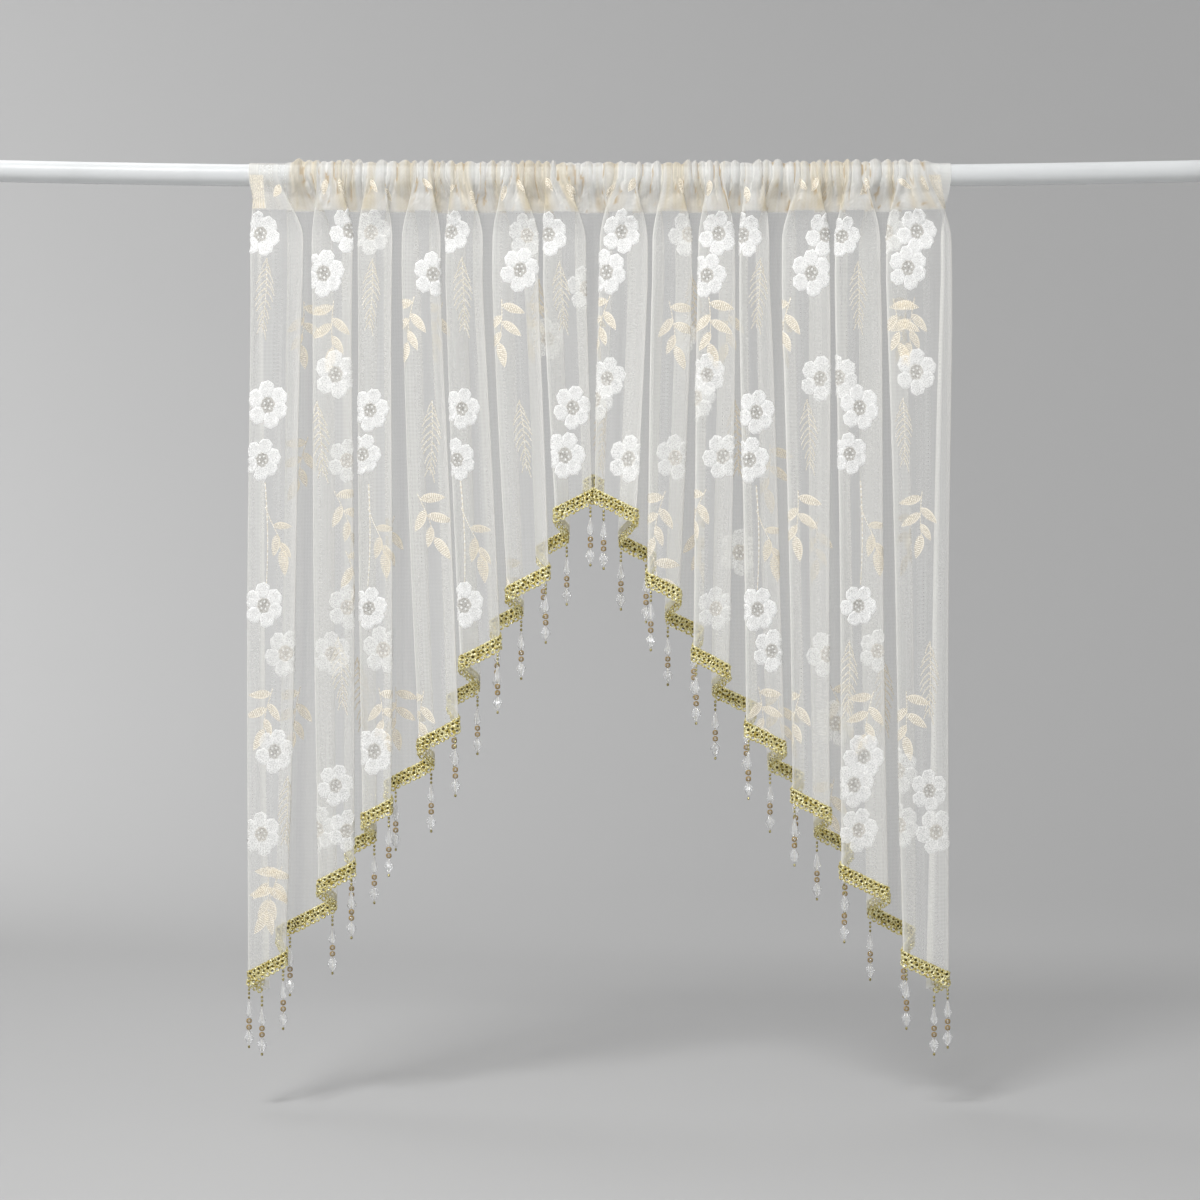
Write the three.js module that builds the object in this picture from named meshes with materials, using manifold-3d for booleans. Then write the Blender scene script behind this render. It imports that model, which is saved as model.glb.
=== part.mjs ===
// Sheer door curtain on a rod. Millimetres: X along the rod, Y away from the viewer, Z up.
// The origin is the middle of the rod's axis, half way between its two end faces.
import * as THREE from 'three';
import { mergeVertices } from 'three/addons/utils/BufferGeometryUtils.js';
import Module from 'manifold-3d';

const wasm = await Module();
wasm.setup();

// Rod
const ROD_RADIUS = 12.5;
const ROD_HALF = 710;
const ROD_BOW = 8;
const ROD_SIDES = 24;
const ROD_STEPS = 12;

// Cloth
const CLOTH_THICK = 1.2;
const POCKET_RADIUS = 15.2;
const GATHER_RISE = 6;
const GATHERS_PER_FOLD = 3;
const GATHER_SWING = 3.2;
const HEAD_SHARE = 0.1;
const STITCH_Z = -41;
const FLAP_GAP = 4.4;
const FULL_Z = -120;
const SIDE_Z = -918;
const APEX_Z = -337;
const FRONT_BULGE = 3;
const TUCK_REACH = 24;
const TUCK_DEPTH = 12;
const STEPS_PER_SPAN = 2;

// Braid and its bead drops
const BRAID_GAP = 1.5;
const BRAID_HEIGHT = 19;
const BRAID_THICK = 2.2;
const BRAID_JOIN = 0.08;
const DROP_ROOT = 4;

// One row per fold, left to right: where its front sits in the heading, the edges of its front panel
// where the folds are full and at the hem, how far the cloth turns behind those edges as a share of
// the panel's width, and the depth of the back fold that follows it, full and at the hem.
const FOLD_COLUMNS = [
  'head', 'fullLeft', 'fullRight', 'hemLeft', 'hemRight', 'lapLeft', 'lapRight', 'depthFull', 'depthHem',
];
const FOLDS = [
  [-380, -397, -337, -400, -356, 0.40, 0.34, 30, 38],
  [-304, -327, -281, -320, -280, 0.46, 0.30, 27, 29],
  [-255, -275, -236, -270, -238, 0.46, 0.28, 29, 31],
  [-199, -225, -181, -206, -162, 0.40, 0.32, 32, 43],
  [-160, -175, -133, -158, -115, 0.50, 0.28, 27, 27],
  [-98, -122, -70, -105, -60, 0.42, 0.32, 30, 38],
  [-54, -64, -16, -50, -11, 0.42, 0.26, 24, 14],
  [30, 0, 54, -5, 40, 0.26, 0.42, 30, 47],
  [82, 60, 104, 54, 90, 0.30, 0.40, 28, 40],
  [132, 112, 153, 105, 147, 0.32, 0.42, 29, 35],
  [173, 159, 192, 165, 211, 0.30, 0.42, 27, 27],
  [237, 207, 260, 219, 261, 0.32, 0.40, 31, 37],
  [290, 267, 318, 275, 326, 0.32, 0.42, 30, 38],
  [349, 325, 399, 345, 394, 0.36, 0.40, 30, 36],
].map((row) => Object.fromEntries(FOLD_COLUMNS.map((name, i) => [name, row[i]])));

// Flat, ungathered strips at the two ends of the heading.
const HEAD_LEFT = -399;
const HEAD_RIGHT = 399;
const STRIP_LEFT = -350;
const STRIP_RIGHT = 374;

// Rows of the sheet from the flap's edge behind the rod, over the rod and down to the hem.
// turn is the angle round the rod from its back, drop is a height below the pocket, and fall is the
// share of the way from the full folds down to the hem.
const SHEET_ROWS = [
  { flap: 1 },
  { flap: 0.45 },
  { turn: -15 },
  { turn: 40 },
  { turn: 90 },
  { turn: 140 },
  { turn: 195 },
  { drop: STITCH_Z },
  { drop: -63 },
  { drop: -88 },
  { drop: FULL_Z },
  { fall: 0.5 },
  { fall: 1 },
];

// Outline of one bead drop: depth below the braid and half width across its corners.
const DROP_PROFILE = [
  { depth: -DROP_ROOT, half: 0.8 },
  { depth: 8, half: 0.9 },
  { depth: 26, half: 4.6 },
  { depth: 33, half: 1.6 },
  { depth: 37, half: 4.4 },
  { depth: 41.5, half: 2.6 },
  { depth: 46, half: 4.4 },
  { depth: 50, half: 1.6 },
  { depth: 58, half: 6.0 },
  { depth: 66, half: 1.8 },
  { depth: 70, half: 1.4 },
];

// Where drops hang, as spans along the section from the left edge of a fold's front: near the inner
// edge of the front, just inside the back fold and near the far edge of the back fold. Two more hang
// on the turned edge at each side.
const DROPS_LEFT_HALF = [1.8, 3.55, 4.75];
const DROPS_RIGHT_HALF = [0.2, -1.55, -2.75];
const DROPS_APEX = [1.85, 0.5];
const DROPS_SIDE = [0.3, 1.15];

const SPANS_PER_FOLD = 6;
const APEX_FOLD = 7;
const smooth = (a, b, x) => THREE.MathUtils.smoothstep(x, a, b);
const lerp = THREE.MathUtils.lerp;
const rodZ = (x) => ROD_BOW * (x / ROD_HALF) ** 2;

// Corner points of the folded section: way 0 is where the folds are full, way 1 is the hem.
function sectionCorners(way) {
  const at = (fold, side) => lerp(fold[`full${side}`], fold[`hem${side}`], way);
  const tuck = lerp(0.45, 1, way);
  const corners = [];
  FOLDS.forEach((fold, i) => {
    const left = at(fold, 'Left');
    const right = at(fold, 'Right');
    const width = right - left;
    const depth = lerp(fold.depthFull, fold.depthHem, way);
    const before = i > 0 ? lerp(FOLDS[i - 1].depthFull, FOLDS[i - 1].depthHem, way) : depth;
    if (i === 0) {
      corners.push([left + TUCK_REACH * tuck, -before / 2 + TUCK_DEPTH]);
    }
    corners.push(
      [left, -before / 2],
      [(left + right) / 2, -(before + depth) / 4 - FRONT_BULGE],
      [right, -depth / 2],
    );
    if (i === FOLDS.length - 1) {
      corners.push([right - TUCK_REACH * tuck, -depth / 2 + TUCK_DEPTH]);
      return;
    }
    const next = FOLDS[i + 1];
    const nextLeft = at(next, 'Left');
    const nextWidth = at(next, 'Right') - nextLeft;
    const backLeft = right - fold.lapRight * width;
    const backRight = nextLeft + next.lapLeft * nextWidth;
    corners.push(
      [backLeft, depth / 2],
      [(backLeft + backRight) / 2, depth / 2 + FRONT_BULGE / 2],
      [backRight, depth / 2],
    );
  });
  return corners.map(([x, y]) => new THREE.Vector3(x, y, 0));
}

// The folded section as a curve. Each span between corners has the same number of steps.
function sectionCurve(way) {
  return new THREE.CatmullRomCurve3(sectionCorners(way), false, 'centripetal');
}

const FULL_CURVE = sectionCurve(0);
const HEM_CURVE = sectionCurve(1);
const SPANS = FULL_CURVE.points.length - 1;
const COLUMNS = SPANS * STEPS_PER_SPAN;

// Place in the heading, gathered small and even: x along the rod and the wave of the gathers.
function heading(span) {
  const fold = (span - 1) / SPANS_PER_FOLD;
  const anchors = [HEAD_LEFT, ...FOLDS.map((row) => row.head), HEAD_RIGHT];
  const spans = [0, ...FOLDS.map((row, i) => 2 + i * SPANS_PER_FOLD), SPANS];
  let k = 0;
  while (k < spans.length - 2 && span > spans[k + 1]) {
    k += 1;
  }
  const x = lerp(anchors[k], anchors[k + 1], (span - spans[k]) / (spans[k + 1] - spans[k]));
  const fromLeft = smooth(STRIP_LEFT - 12, STRIP_LEFT + 12, x);
  const fromRight = 1 - smooth(STRIP_RIGHT - 12, STRIP_RIGHT + 12, x);
  const strip = fromLeft * fromRight;
  const wave = Math.cos((fold - 1 / SPANS_PER_FOLD) * GATHERS_PER_FOLD * 2 * Math.PI);
  return { x, wave: wave * strip, strip };
}

// Height of the hem: straight on the flat cloth, so it follows the length along the folded section.
const HEM_LENGTHS = HEM_CURVE.getLengths(SPANS * 40);
function hemLength(span) {
  const k = Math.min(Math.floor(span * 40), HEM_LENGTHS.length - 2);
  return lerp(HEM_LENGTHS[k], HEM_LENGTHS[k + 1], span * 40 - k);
}
const APEX_SPAN = APEX_FOLD * SPANS_PER_FOLD - 1;
function hemZ(span) {
  const apex = hemLength(APEX_SPAN);
  const share = span < APEX_SPAN
    ? hemLength(span) / apex
    : (hemLength(SPANS) - hemLength(span)) / (hemLength(SPANS) - apex);
  return lerp(SIDE_Z, APEX_Z, share);
}

// A point of the sheet's middle surface.
function sheetPoint(span, row) {
  const head = heading(span);
  const full = FULL_CURVE.getPoint(span / SPANS);
  const rod = rodZ(head.x);
  const rise = POCKET_RADIUS + GATHER_RISE * 0.5 * (head.strip + head.wave);
  const stitched = full.y * HEAD_SHARE - GATHER_SWING * head.wave;
  if (row.flap !== undefined) {
    return new THREE.Vector3(
      head.x,
      lerp(rise, stitched + FLAP_GAP, row.flap),
      rod + STITCH_Z * row.flap,
    );
  }
  if (row.turn !== undefined) {
    const angle = THREE.MathUtils.degToRad(row.turn);
    return new THREE.Vector3(head.x, rise * Math.cos(angle), rod + rise * Math.sin(angle));
  }
  if (row.drop !== undefined) {
    const way = (STITCH_Z - row.drop) / (STITCH_Z - FULL_Z);
    const swing = GATHER_SWING * (1 - smooth(0, 0.6, way));
    return new THREE.Vector3(
      lerp(head.x, full.x, smooth(0.3, 1, way)),
      full.y * lerp(HEAD_SHARE, 1, smooth(0, 0.7, way)) - head.wave * swing,
      rod + row.drop,
    );
  }
  const hem = HEM_CURVE.getPoint(span / SPANS);
  const point = full.lerp(hem, row.fall);
  point.z = rod + lerp(FULL_Z, hemZ(span), row.fall);
  return point;
}

// Closed geometry of a sheet of given thickness whose middle surface is a grid of points [column][row].
function sheetSolid(grid, thick) {
  const columns = grid.length;
  const rows = grid[0].length;
  const clampAt = (i, j) => {
    const column = THREE.MathUtils.clamp(i, 0, columns - 1);
    return grid[column][THREE.MathUtils.clamp(j, 0, rows - 1)];
  };
  const leg = (from, to) => new THREE.Vector3().subVectors(to, from).normalize();
  const position = [];
  for (const side of [1, -1]) {
    for (let i = 0; i < columns; i += 1) {
      for (let j = 0; j < rows; j += 1) {
        const here = grid[i][j];
        const along = leg(clampAt(i - 1, j), here).add(leg(here, clampAt(i + 1, j)));
        const down = leg(clampAt(i, j - 1), here).add(leg(here, clampAt(i, j + 1)));
        const normal = new THREE.Vector3().crossVectors(down, along).normalize();
        const p = here.clone().addScaledVector(normal, (side * thick) / 2);
        position.push(p.x, p.y, p.z);
      }
    }
  }
  const half = columns * rows;
  const id = (side, i, j) => side * half + i * rows + j;
  const index = [];
  const quad = (a, b, c, d) => index.push(a, b, c, a, c, d);
  for (let i = 0; i < columns - 1; i += 1) {
    for (let j = 0; j < rows - 1; j += 1) {
      quad(id(0, i, j), id(0, i, j + 1), id(0, i + 1, j + 1), id(0, i + 1, j));
      quad(id(1, i, j), id(1, i + 1, j), id(1, i + 1, j + 1), id(1, i, j + 1));
    }
    quad(id(0, i, 0), id(0, i + 1, 0), id(1, i + 1, 0), id(1, i, 0));
    quad(id(0, i, rows - 1), id(1, i, rows - 1), id(1, i + 1, rows - 1), id(0, i + 1, rows - 1));
  }
  for (let j = 0; j < rows - 1; j += 1) {
    quad(id(0, 0, j), id(1, 0, j), id(1, 0, j + 1), id(0, 0, j + 1));
    const end = columns - 1;
    quad(id(0, end, j), id(0, end, j + 1), id(1, end, j + 1), id(1, end, j));
  }
  const geometry = new THREE.BufferGeometry();
  geometry.setAttribute('position', new THREE.Float32BufferAttribute(position, 3));
  geometry.setIndex(index);
  return geometry;
}

// Solid of a closed geometry, for joining.
function toSolid(geometry) {
  const bare = new THREE.BufferGeometry();
  bare.setAttribute('position', geometry.getAttribute('position'));
  bare.setIndex(geometry.getIndex());
  const merged = mergeVertices(bare, 1e-4);
  return new wasm.Manifold(new wasm.Mesh({
    numProp: 3,
    vertProperties: Float32Array.from(merged.getAttribute('position').array),
    triVerts: Uint32Array.from(merged.getIndex().array),
  }));
}

function toGeometry(solid) {
  const mesh = solid.getMesh();
  const geometry = new THREE.BufferGeometry();
  const position = Float32Array.from(mesh.vertProperties);
  geometry.setAttribute('position', new THREE.BufferAttribute(position, 3));
  geometry.setIndex(new THREE.BufferAttribute(Uint32Array.from(mesh.triVerts), 1));
  return geometry;
}

function makeRod() {
  const circle = new THREE.Shape().absarc(0, 0, ROD_RADIUS, 0, 2 * Math.PI, false);
  const path = new THREE.QuadraticBezierCurve3(
    new THREE.Vector3(-ROD_HALF, 0, ROD_BOW),
    new THREE.Vector3(0, 0, -ROD_BOW),
    new THREE.Vector3(ROD_HALF, 0, ROD_BOW),
  );
  return new THREE.ExtrudeGeometry(circle, {
    extrudePath: path,
    steps: ROD_STEPS,
    curveSegments: ROD_SIDES / 2,
    bevelEnabled: false,
  });
}

function makeCloth() {
  const grid = [];
  for (let i = 0; i <= COLUMNS; i += 1) {
    grid.push(SHEET_ROWS.map((row) => sheetPoint(i / STEPS_PER_SPAN, row)));
  }
  return sheetSolid(grid, CLOTH_THICK);
}

// A point on the lower edge of the cloth, let down by some depth.
function belowHem(span, depth) {
  const point = sheetPoint(span, { fall: 1 });
  point.z -= depth;
  return point;
}

function makeDrop(span) {
  const profile = DROP_PROFILE.map(({ depth, half }) => new THREE.Vector2(half, -depth));
  const onAxis = (y) => new THREE.Vector2(0, y);
  const outline = [onAxis(profile[0].y), ...profile, onAxis(profile.at(-1).y)];
  const lathe = new THREE.LatheGeometry(outline.reverse(), 4);
  const step = Math.floor(span * STEPS_PER_SPAN);
  const root = belowHem(step / STEPS_PER_SPAN, BRAID_GAP + BRAID_HEIGHT);
  const next = belowHem((step + 1) / STEPS_PER_SPAN, BRAID_GAP + BRAID_HEIGHT);
  root.lerp(next, span * STEPS_PER_SPAN - step);
  lathe.rotateX(Math.PI / 2);
  lathe.translate(root.x, root.y, root.z);
  return lathe;
}

function makeBraid(first, last, drops) {
  const steps = Math.round((last - first) * STEPS_PER_SPAN);
  const grid = [];
  for (let i = 0; i <= steps; i += 1) {
    const step = Math.round(first * STEPS_PER_SPAN + i) / STEPS_PER_SPAN;
    const span = THREE.MathUtils.clamp(step, first, last);
    grid.push([belowHem(span, BRAID_GAP), belowHem(span, BRAID_GAP + BRAID_HEIGHT)]);
  }
  let solid = toSolid(sheetSolid(grid, BRAID_THICK));
  for (const span of drops) {
    solid = solid.add(toSolid(makeDrop(span)));
  }
  return toGeometry(solid);
}

function dropSpans(half) {
  const left = half === 'left';
  const spans = DROPS_SIDE.map((span) => (left ? span : SPANS - span));
  FOLDS.forEach((fold, i) => {
    const start = 1 + i * SPANS_PER_FOLD;
    const places = left ? DROPS_LEFT_HALF : DROPS_RIGHT_HALF;
    if (i < APEX_FOLD === left) {
      const innermost = i === APEX_FOLD - 1 || i === APEX_FOLD;
      spans.push(...(innermost ? [DROPS_APEX[left ? 0 : 1]] : places).map((span) => start + span));
    }
  });
  return spans;
}

const curtain = new THREE.Group();
function addPiece(name, geometry, color, roughness, metalness) {
  const material = new THREE.MeshStandardMaterial({ color, roughness, metalness });
  const mesh = new THREE.Mesh(geometry, material);
  mesh.name = name;
  curtain.add(mesh);
}

addPiece('rod', makeRod(), 0xeef0f2, 0.25, 0.0);
addPiece('curtain_panel', makeCloth(), 0xf2f0ea, 0.85, 0.0);
const braidLeft = makeBraid(0, APEX_SPAN - BRAID_JOIN, dropSpans('left'));
const braidRight = makeBraid(APEX_SPAN + BRAID_JOIN, SPANS, dropSpans('right'));
addPiece('braid_left', braidLeft, 0xc8b05a, 0.35, 0.6);
addPiece('braid_right', braidRight, 0xc8b05a, 0.35, 0.6);

export default curtain;
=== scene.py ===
"""Sheer door curtain on its rod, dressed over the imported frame.

White voile is gathered on a white rod and cut to a deep V below. It carries white flowers and cream fern
sprigs and leaf sprays in satin stitch, a gold ring braid along the V, and strings of glass beads.
Cloth sums and charts are in millimetres: X along the rod, Y away from the viewer, and drop is the distance
below the rod's axis. Meshes are in metres.
"""

import logging
import math
from dataclasses import dataclass, field
from enum import Enum
from typing import NamedTuple, Optional, Sequence

import bpy
import numpy as np
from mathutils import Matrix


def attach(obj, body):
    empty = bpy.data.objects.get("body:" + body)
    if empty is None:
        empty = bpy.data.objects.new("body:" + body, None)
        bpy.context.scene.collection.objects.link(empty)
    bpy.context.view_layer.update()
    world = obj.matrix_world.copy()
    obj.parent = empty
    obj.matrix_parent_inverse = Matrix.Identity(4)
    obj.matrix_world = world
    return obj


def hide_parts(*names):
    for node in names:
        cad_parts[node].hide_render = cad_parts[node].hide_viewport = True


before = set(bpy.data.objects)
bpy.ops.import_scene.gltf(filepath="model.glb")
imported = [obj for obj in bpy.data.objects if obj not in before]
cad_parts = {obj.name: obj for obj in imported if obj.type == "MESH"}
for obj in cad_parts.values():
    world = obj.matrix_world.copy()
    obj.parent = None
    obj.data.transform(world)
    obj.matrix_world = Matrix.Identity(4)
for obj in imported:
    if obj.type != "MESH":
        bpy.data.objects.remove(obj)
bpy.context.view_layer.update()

LOG = logging.getLogger("door_curtain")
MM = 0.001
BODY = "root"

Array = np.ndarray
Colour = tuple[float, float, float]
Place = tuple[float, float, float]
Node = bpy.types.Node
Socket = bpy.types.NodeSocket
Piece = bpy.types.Object


class Layer(Enum):
    """Part of a fold that a motif lies on, as the span of its middle from the fold's first corner."""

    FRONT = 2.0
    BACK = 5.0


class Side(Enum):
    """Slope of the V, named as the viewer sees it."""

    LEFT = "left"
    RIGHT = "right"


class Fold(NamedTuple):
    """One fold of the hung cloth, in millimetres.

    head is where its front sits in the heading. The edges of its front panel are given where the folds are
    full and at the hem. The laps are how far the cloth turns behind those edges, as shares of the panel's
    width, and the depths are those of the back fold that follows it, full and at the hem.
    """

    head: float
    full_left: float
    full_right: float
    hem_left: float
    hem_right: float
    lap_left: float
    lap_right: float
    depth_full: float
    depth_hem: float


class Spot(NamedTuple):
    """A place on the cloth: the span along its folded section, and the drop below the rod's axis."""

    span: float
    drop: float


FOLDS = (
    Fold(-380, -397, -337, -400, -356, 0.40, 0.34, 30, 38),
    Fold(-304, -327, -281, -320, -280, 0.46, 0.30, 27, 29),
    Fold(-255, -275, -236, -270, -238, 0.46, 0.28, 29, 31),
    Fold(-199, -225, -181, -206, -162, 0.40, 0.32, 32, 43),
    Fold(-160, -175, -133, -158, -115, 0.50, 0.28, 27, 27),
    Fold(-98, -122, -70, -105, -60, 0.42, 0.32, 30, 38),
    Fold(-54, -64, -16, -50, -11, 0.42, 0.26, 24, 14),
    Fold(30, 0, 54, -5, 40, 0.26, 0.42, 30, 47),
    Fold(82, 60, 104, 54, 90, 0.30, 0.40, 28, 40),
    Fold(132, 112, 153, 105, 147, 0.32, 0.42, 29, 35),
    Fold(173, 159, 192, 165, 211, 0.30, 0.42, 27, 27),
    Fold(237, 207, 260, 219, 261, 0.32, 0.40, 31, 37),
    Fold(290, 267, 318, 275, 326, 0.32, 0.42, 30, 38),
    Fold(349, 325, 399, 345, 394, 0.36, 0.40, 30, 36),
)
SPANS_PER_FOLD = 6
APEX_FOLD = 7


def smooth(low: float, high: float, value: Array) -> Array:
    """Smooth step from 0 at low to 1 at high."""
    share = np.clip((value - low) / (high - low), 0.0, 1.0)
    return share * share * (3.0 - 2.0 * share)


def lerp(start: Array, end: Array, share: Array) -> Array:
    """Point a share of the way from start to end."""
    return start + (end - start) * share


class Section:
    """A level cut through the folds: a smooth curve through its corners, read by span.

    Args:
        corners: Corner places (x, y) in millimetres, from left to right.
    """

    def __init__(self, corners: Array) -> None:
        """Carry the curve on past its two ends."""
        before = 2.0 * corners[0] - corners[1]
        after = 2.0 * corners[-1] - corners[-2]
        self.knots = np.vstack([before, corners, after])
        self.spans = len(corners) - 1

    def at(self, span: Array) -> Array:
        """Places on the curve.

        Args:
            span: Spans from the left end.

        Returns:
            Places (x, y) in millimetres.
        """
        index = np.clip(np.floor(span).astype(int), 0, self.spans - 1)
        part = (span - index)[..., None]
        p0, p1, p2, p3 = (self.knots[index + step] for step in range(4))
        pairs = ((p0, p1), (p1, p2), (p2, p3))
        d0, d1, d2 = (np.sqrt(np.linalg.norm(b - a, axis=-1, keepdims=True)) for a, b in pairs)
        leave = ((p1 - p0) / d0 - (p2 - p0) / (d0 + d1) + (p2 - p1) / d1) * d1
        arrive = ((p2 - p1) / d1 - (p3 - p1) / (d1 + d2) + (p3 - p2) / d2) * d1
        square = -3.0 * p1 + 3.0 * p2 - 2.0 * leave - arrive
        cube = 2.0 * p1 - 2.0 * p2 + leave + arrive
        return p1 + part * (leave + part * (square + part * cube))


class Gathers:
    """Uneven rounded gathers side by side, each between two sharp creases.

    Args:
        start: Where the first one begins.
        end: Where the last one ends at the latest.
        least: Width of the narrowest.
        most: Width of the widest.
        rng: Source of the unevenness.
    """

    def __init__(
        self, start: float, end: float, least: float, most: float, rng: np.random.Generator
    ) -> None:
        """Draw the widths, the heights and the leans."""
        count = int((end - start) / least) + 1
        self.edges = start + np.cumsum(rng.uniform(least, most, count))
        self.heights = rng.uniform(0.45, 1.0, count)
        self.leans = rng.uniform(0.6, 1.7, count)

    def at(self, x: Array) -> Array:
        """Height from 0 in a crease to 1 on the highest crown.

        Args:
            x: Places along the rod.

        Returns:
            The heights.
        """
        index = np.clip(np.searchsorted(self.edges, x), 1, len(self.edges) - 1)
        start, end = self.edges[index - 1], self.edges[index]
        part = np.clip((x - start) / (end - start), 0.0, 1.0) ** self.leans[index]
        return np.sin(np.pi * part) ** 0.7 * self.heights[index]


@dataclass
class HungCloth:
    """The cloth as it hangs: where each point of the flat panel goes, in millimetres."""

    rod_half: float = 710.0
    rod_bow: float = 8.0
    pocket: float = 13.8
    rise: float = 5.6
    gather_widths: tuple[float, float] = (6.0, 15.0)
    pleat_widths: tuple[float, float] = (12.0, 32.0)
    pleat_swing: float = 5.5
    pucker_widths: tuple[float, float] = (11.0, 26.0)
    pucker_swing: float = 1.6
    pucker_slants: tuple[float, float] = (0.75, -0.9)
    slant: float = 9.0
    slant_pitch: float = 23.0
    head_left: float = -399.0
    head_right: float = 399.0
    strip_left: float = -352.0
    strip_right: float = 374.0
    strip_ease: float = 9.0
    head_share: float = 0.5
    stitch: float = 41.0
    full: float = 120.0
    side: float = 918.0
    apex: float = 337.0
    bulge: float = 3.0
    tuck_reach: float = 24.0
    tuck_depth: float = 12.0
    flap_gap: float = 2.4
    crease: float = 1.1
    sway: float = 1.3
    tail: float = 9.0
    seed: int = 7
    steps: int = 20

    def __post_init__(self) -> None:
        """Draw the two sections, the gathers and the hem."""
        self.full_curve = Section(self.corners(0.0))
        self.hem_curve = Section(self.corners(1.0))
        self.spans = self.full_curve.spans
        self.apex_span = APEX_FOLD * SPANS_PER_FOLD - 1
        self.grid = np.linspace(0.0, self.spans, self.spans * self.steps + 1)
        line = self.hem_curve.at(self.grid)
        legs = np.linalg.norm(np.diff(line, axis=0), axis=1)
        self.hem_lengths = np.concatenate([[0.0], np.cumsum(legs)])
        self.left_length = float(np.interp(self.apex_span, self.grid, self.hem_lengths))
        self.right_length = float(self.hem_lengths[-1]) - self.left_length
        rng = np.random.default_rng(self.seed)
        ends = (self.head_left - 40.0, self.head_right + 40.0)
        self.gathers = Gathers(*ends, *self.gather_widths, rng)
        self.pleats = Gathers(*ends, *self.pleat_widths, rng)
        self.puckers = [(slant, Gathers(*ends, *self.pucker_widths, rng)) for slant in self.pucker_slants]

    def corners(self, way: float) -> Array:
        """Corners of the folded section.

        Args:
            way: 0 where the folds are full, 1 at the hem.

        Returns:
            Corner places (x, y).
        """
        tuck = lerp(0.45, 1.0, way)
        lefts = [lerp(fold.full_left, fold.hem_left, way) for fold in FOLDS]
        rights = [lerp(fold.full_right, fold.hem_right, way) for fold in FOLDS]
        depths = [lerp(fold.depth_full, fold.depth_hem, way) for fold in FOLDS]
        places = [(lefts[0] + self.tuck_reach * tuck, self.tuck_depth - depths[0] / 2)]
        for i, fold in enumerate(FOLDS):
            left, right, depth = lefts[i], rights[i], depths[i]
            before = depths[max(i - 1, 0)]
            places.append((left, -before / 2))
            places.append(((left + right) / 2, -(before + depth) / 4 - self.bulge))
            places.append((right, -depth / 2))
            if i + 1 < len(FOLDS):
                inner = right - fold.lap_right * (right - left)
                outer = lefts[i + 1] + FOLDS[i + 1].lap_left * (rights[i + 1] - lefts[i + 1])
                places.append((inner, depth / 2))
                places.append(((inner + outer) / 2, depth / 2 + self.bulge / 2))
                places.append((outer, depth / 2))
        places.append((rights[-1] - self.tuck_reach * tuck, self.tuck_depth - depths[-1] / 2))
        return np.array(places)

    def rod_z(self, x: Array) -> Array:
        """Height of the bowed rod's axis."""
        return self.rod_bow * (x / self.rod_half) ** 2

    def head_x(self, span: Array) -> Array:
        """Place along the rod where a span is gathered into the heading."""
        anchors = [self.head_left, *(fold.head for fold in FOLDS), self.head_right]
        marks = [0.0, *(2.0 + i * SPANS_PER_FOLD for i in range(len(FOLDS))), self.spans]
        return np.interp(span, marks, anchors)

    def gathered(self, x: Array) -> Array:
        """1 where the heading is gathered, 0 in the flat strips at its two ends."""
        from_left = smooth(self.strip_left - self.strip_ease, self.strip_left + self.strip_ease, x)
        from_right = smooth(self.strip_right - self.strip_ease, self.strip_right + self.strip_ease, x)
        return from_left * (1.0 - from_right)

    def hem_drop(self, span: Array) -> Array:
        """Drop of the hem, straight on the flat cloth.

        Args:
            span: Spans along the folded section.

        Returns:
            The drops.
        """
        length = np.interp(span, self.grid, self.hem_lengths)
        left = length / self.left_length
        right = (self.left_length + self.right_length - length) / self.right_length
        return lerp(self.side, self.apex, np.minimum(left, right))

    def over(self, span: Array, angle: float) -> Array:
        """Places round the rod.

        Args:
            span: Spans along the folded section.
            angle: Degrees from the rod's back, over its top, to its front.

        Returns:
            Places (x, y, z).
        """
        x = self.head_x(span)
        pleat = self.pleat_swing * self.pleats.at(x) * smooth(60.0, 180.0, angle)
        radius = self.pocket + (self.rise * self.gathers.at(x) + pleat) * self.gathered(x)
        turn = math.radians(angle)
        return np.stack([x, radius * math.cos(turn), self.rod_z(x) + radius * math.sin(turn)], axis=-1)

    def hang(self, span: Array, drop: Array) -> Array:
        """Places on the front of the pocket and in the folds below it.

        Args:
            span: Spans along the folded section.
            drop: Drops below the rod's axis.

        Returns:
            Places (x, y, z).
        """
        span, drop = np.broadcast_arrays(np.asarray(span, float), np.asarray(drop, float))
        head = self.head_x(span)
        gathered = self.gathered(head)
        way = np.clip((drop - self.full) / (self.hem_drop(span) - self.full), 0.0, 1.0)[..., None]
        place = lerp(self.full_curve.at(span), self.hem_curve.at(span), way)
        # The folds lap and deepen below the rod, and the gathers of its top die out in pleats.
        across = lerp(head, place[..., 0], smooth(0.0, 75.0, drop) ** 0.8)
        deepen = self.head_share * smooth(0.0, self.stitch, drop)
        deepen = deepen + (1.0 - self.head_share) * smooth(self.stitch, self.full - 15.0, drop)
        lean = self.slant * np.sin(head / self.slant_pitch) * np.clip(drop / self.stitch, 0.0, 1.5)
        crown = self.rise * self.gathers.at(head + lean) * (1.0 - smooth(6.0, self.stitch + 4.0, drop))
        pleat = self.pleat_swing * self.pleats.at(head + lean)
        pleat = pleat * (1.0 - smooth(self.stitch - 10.0, self.full, drop))
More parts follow.
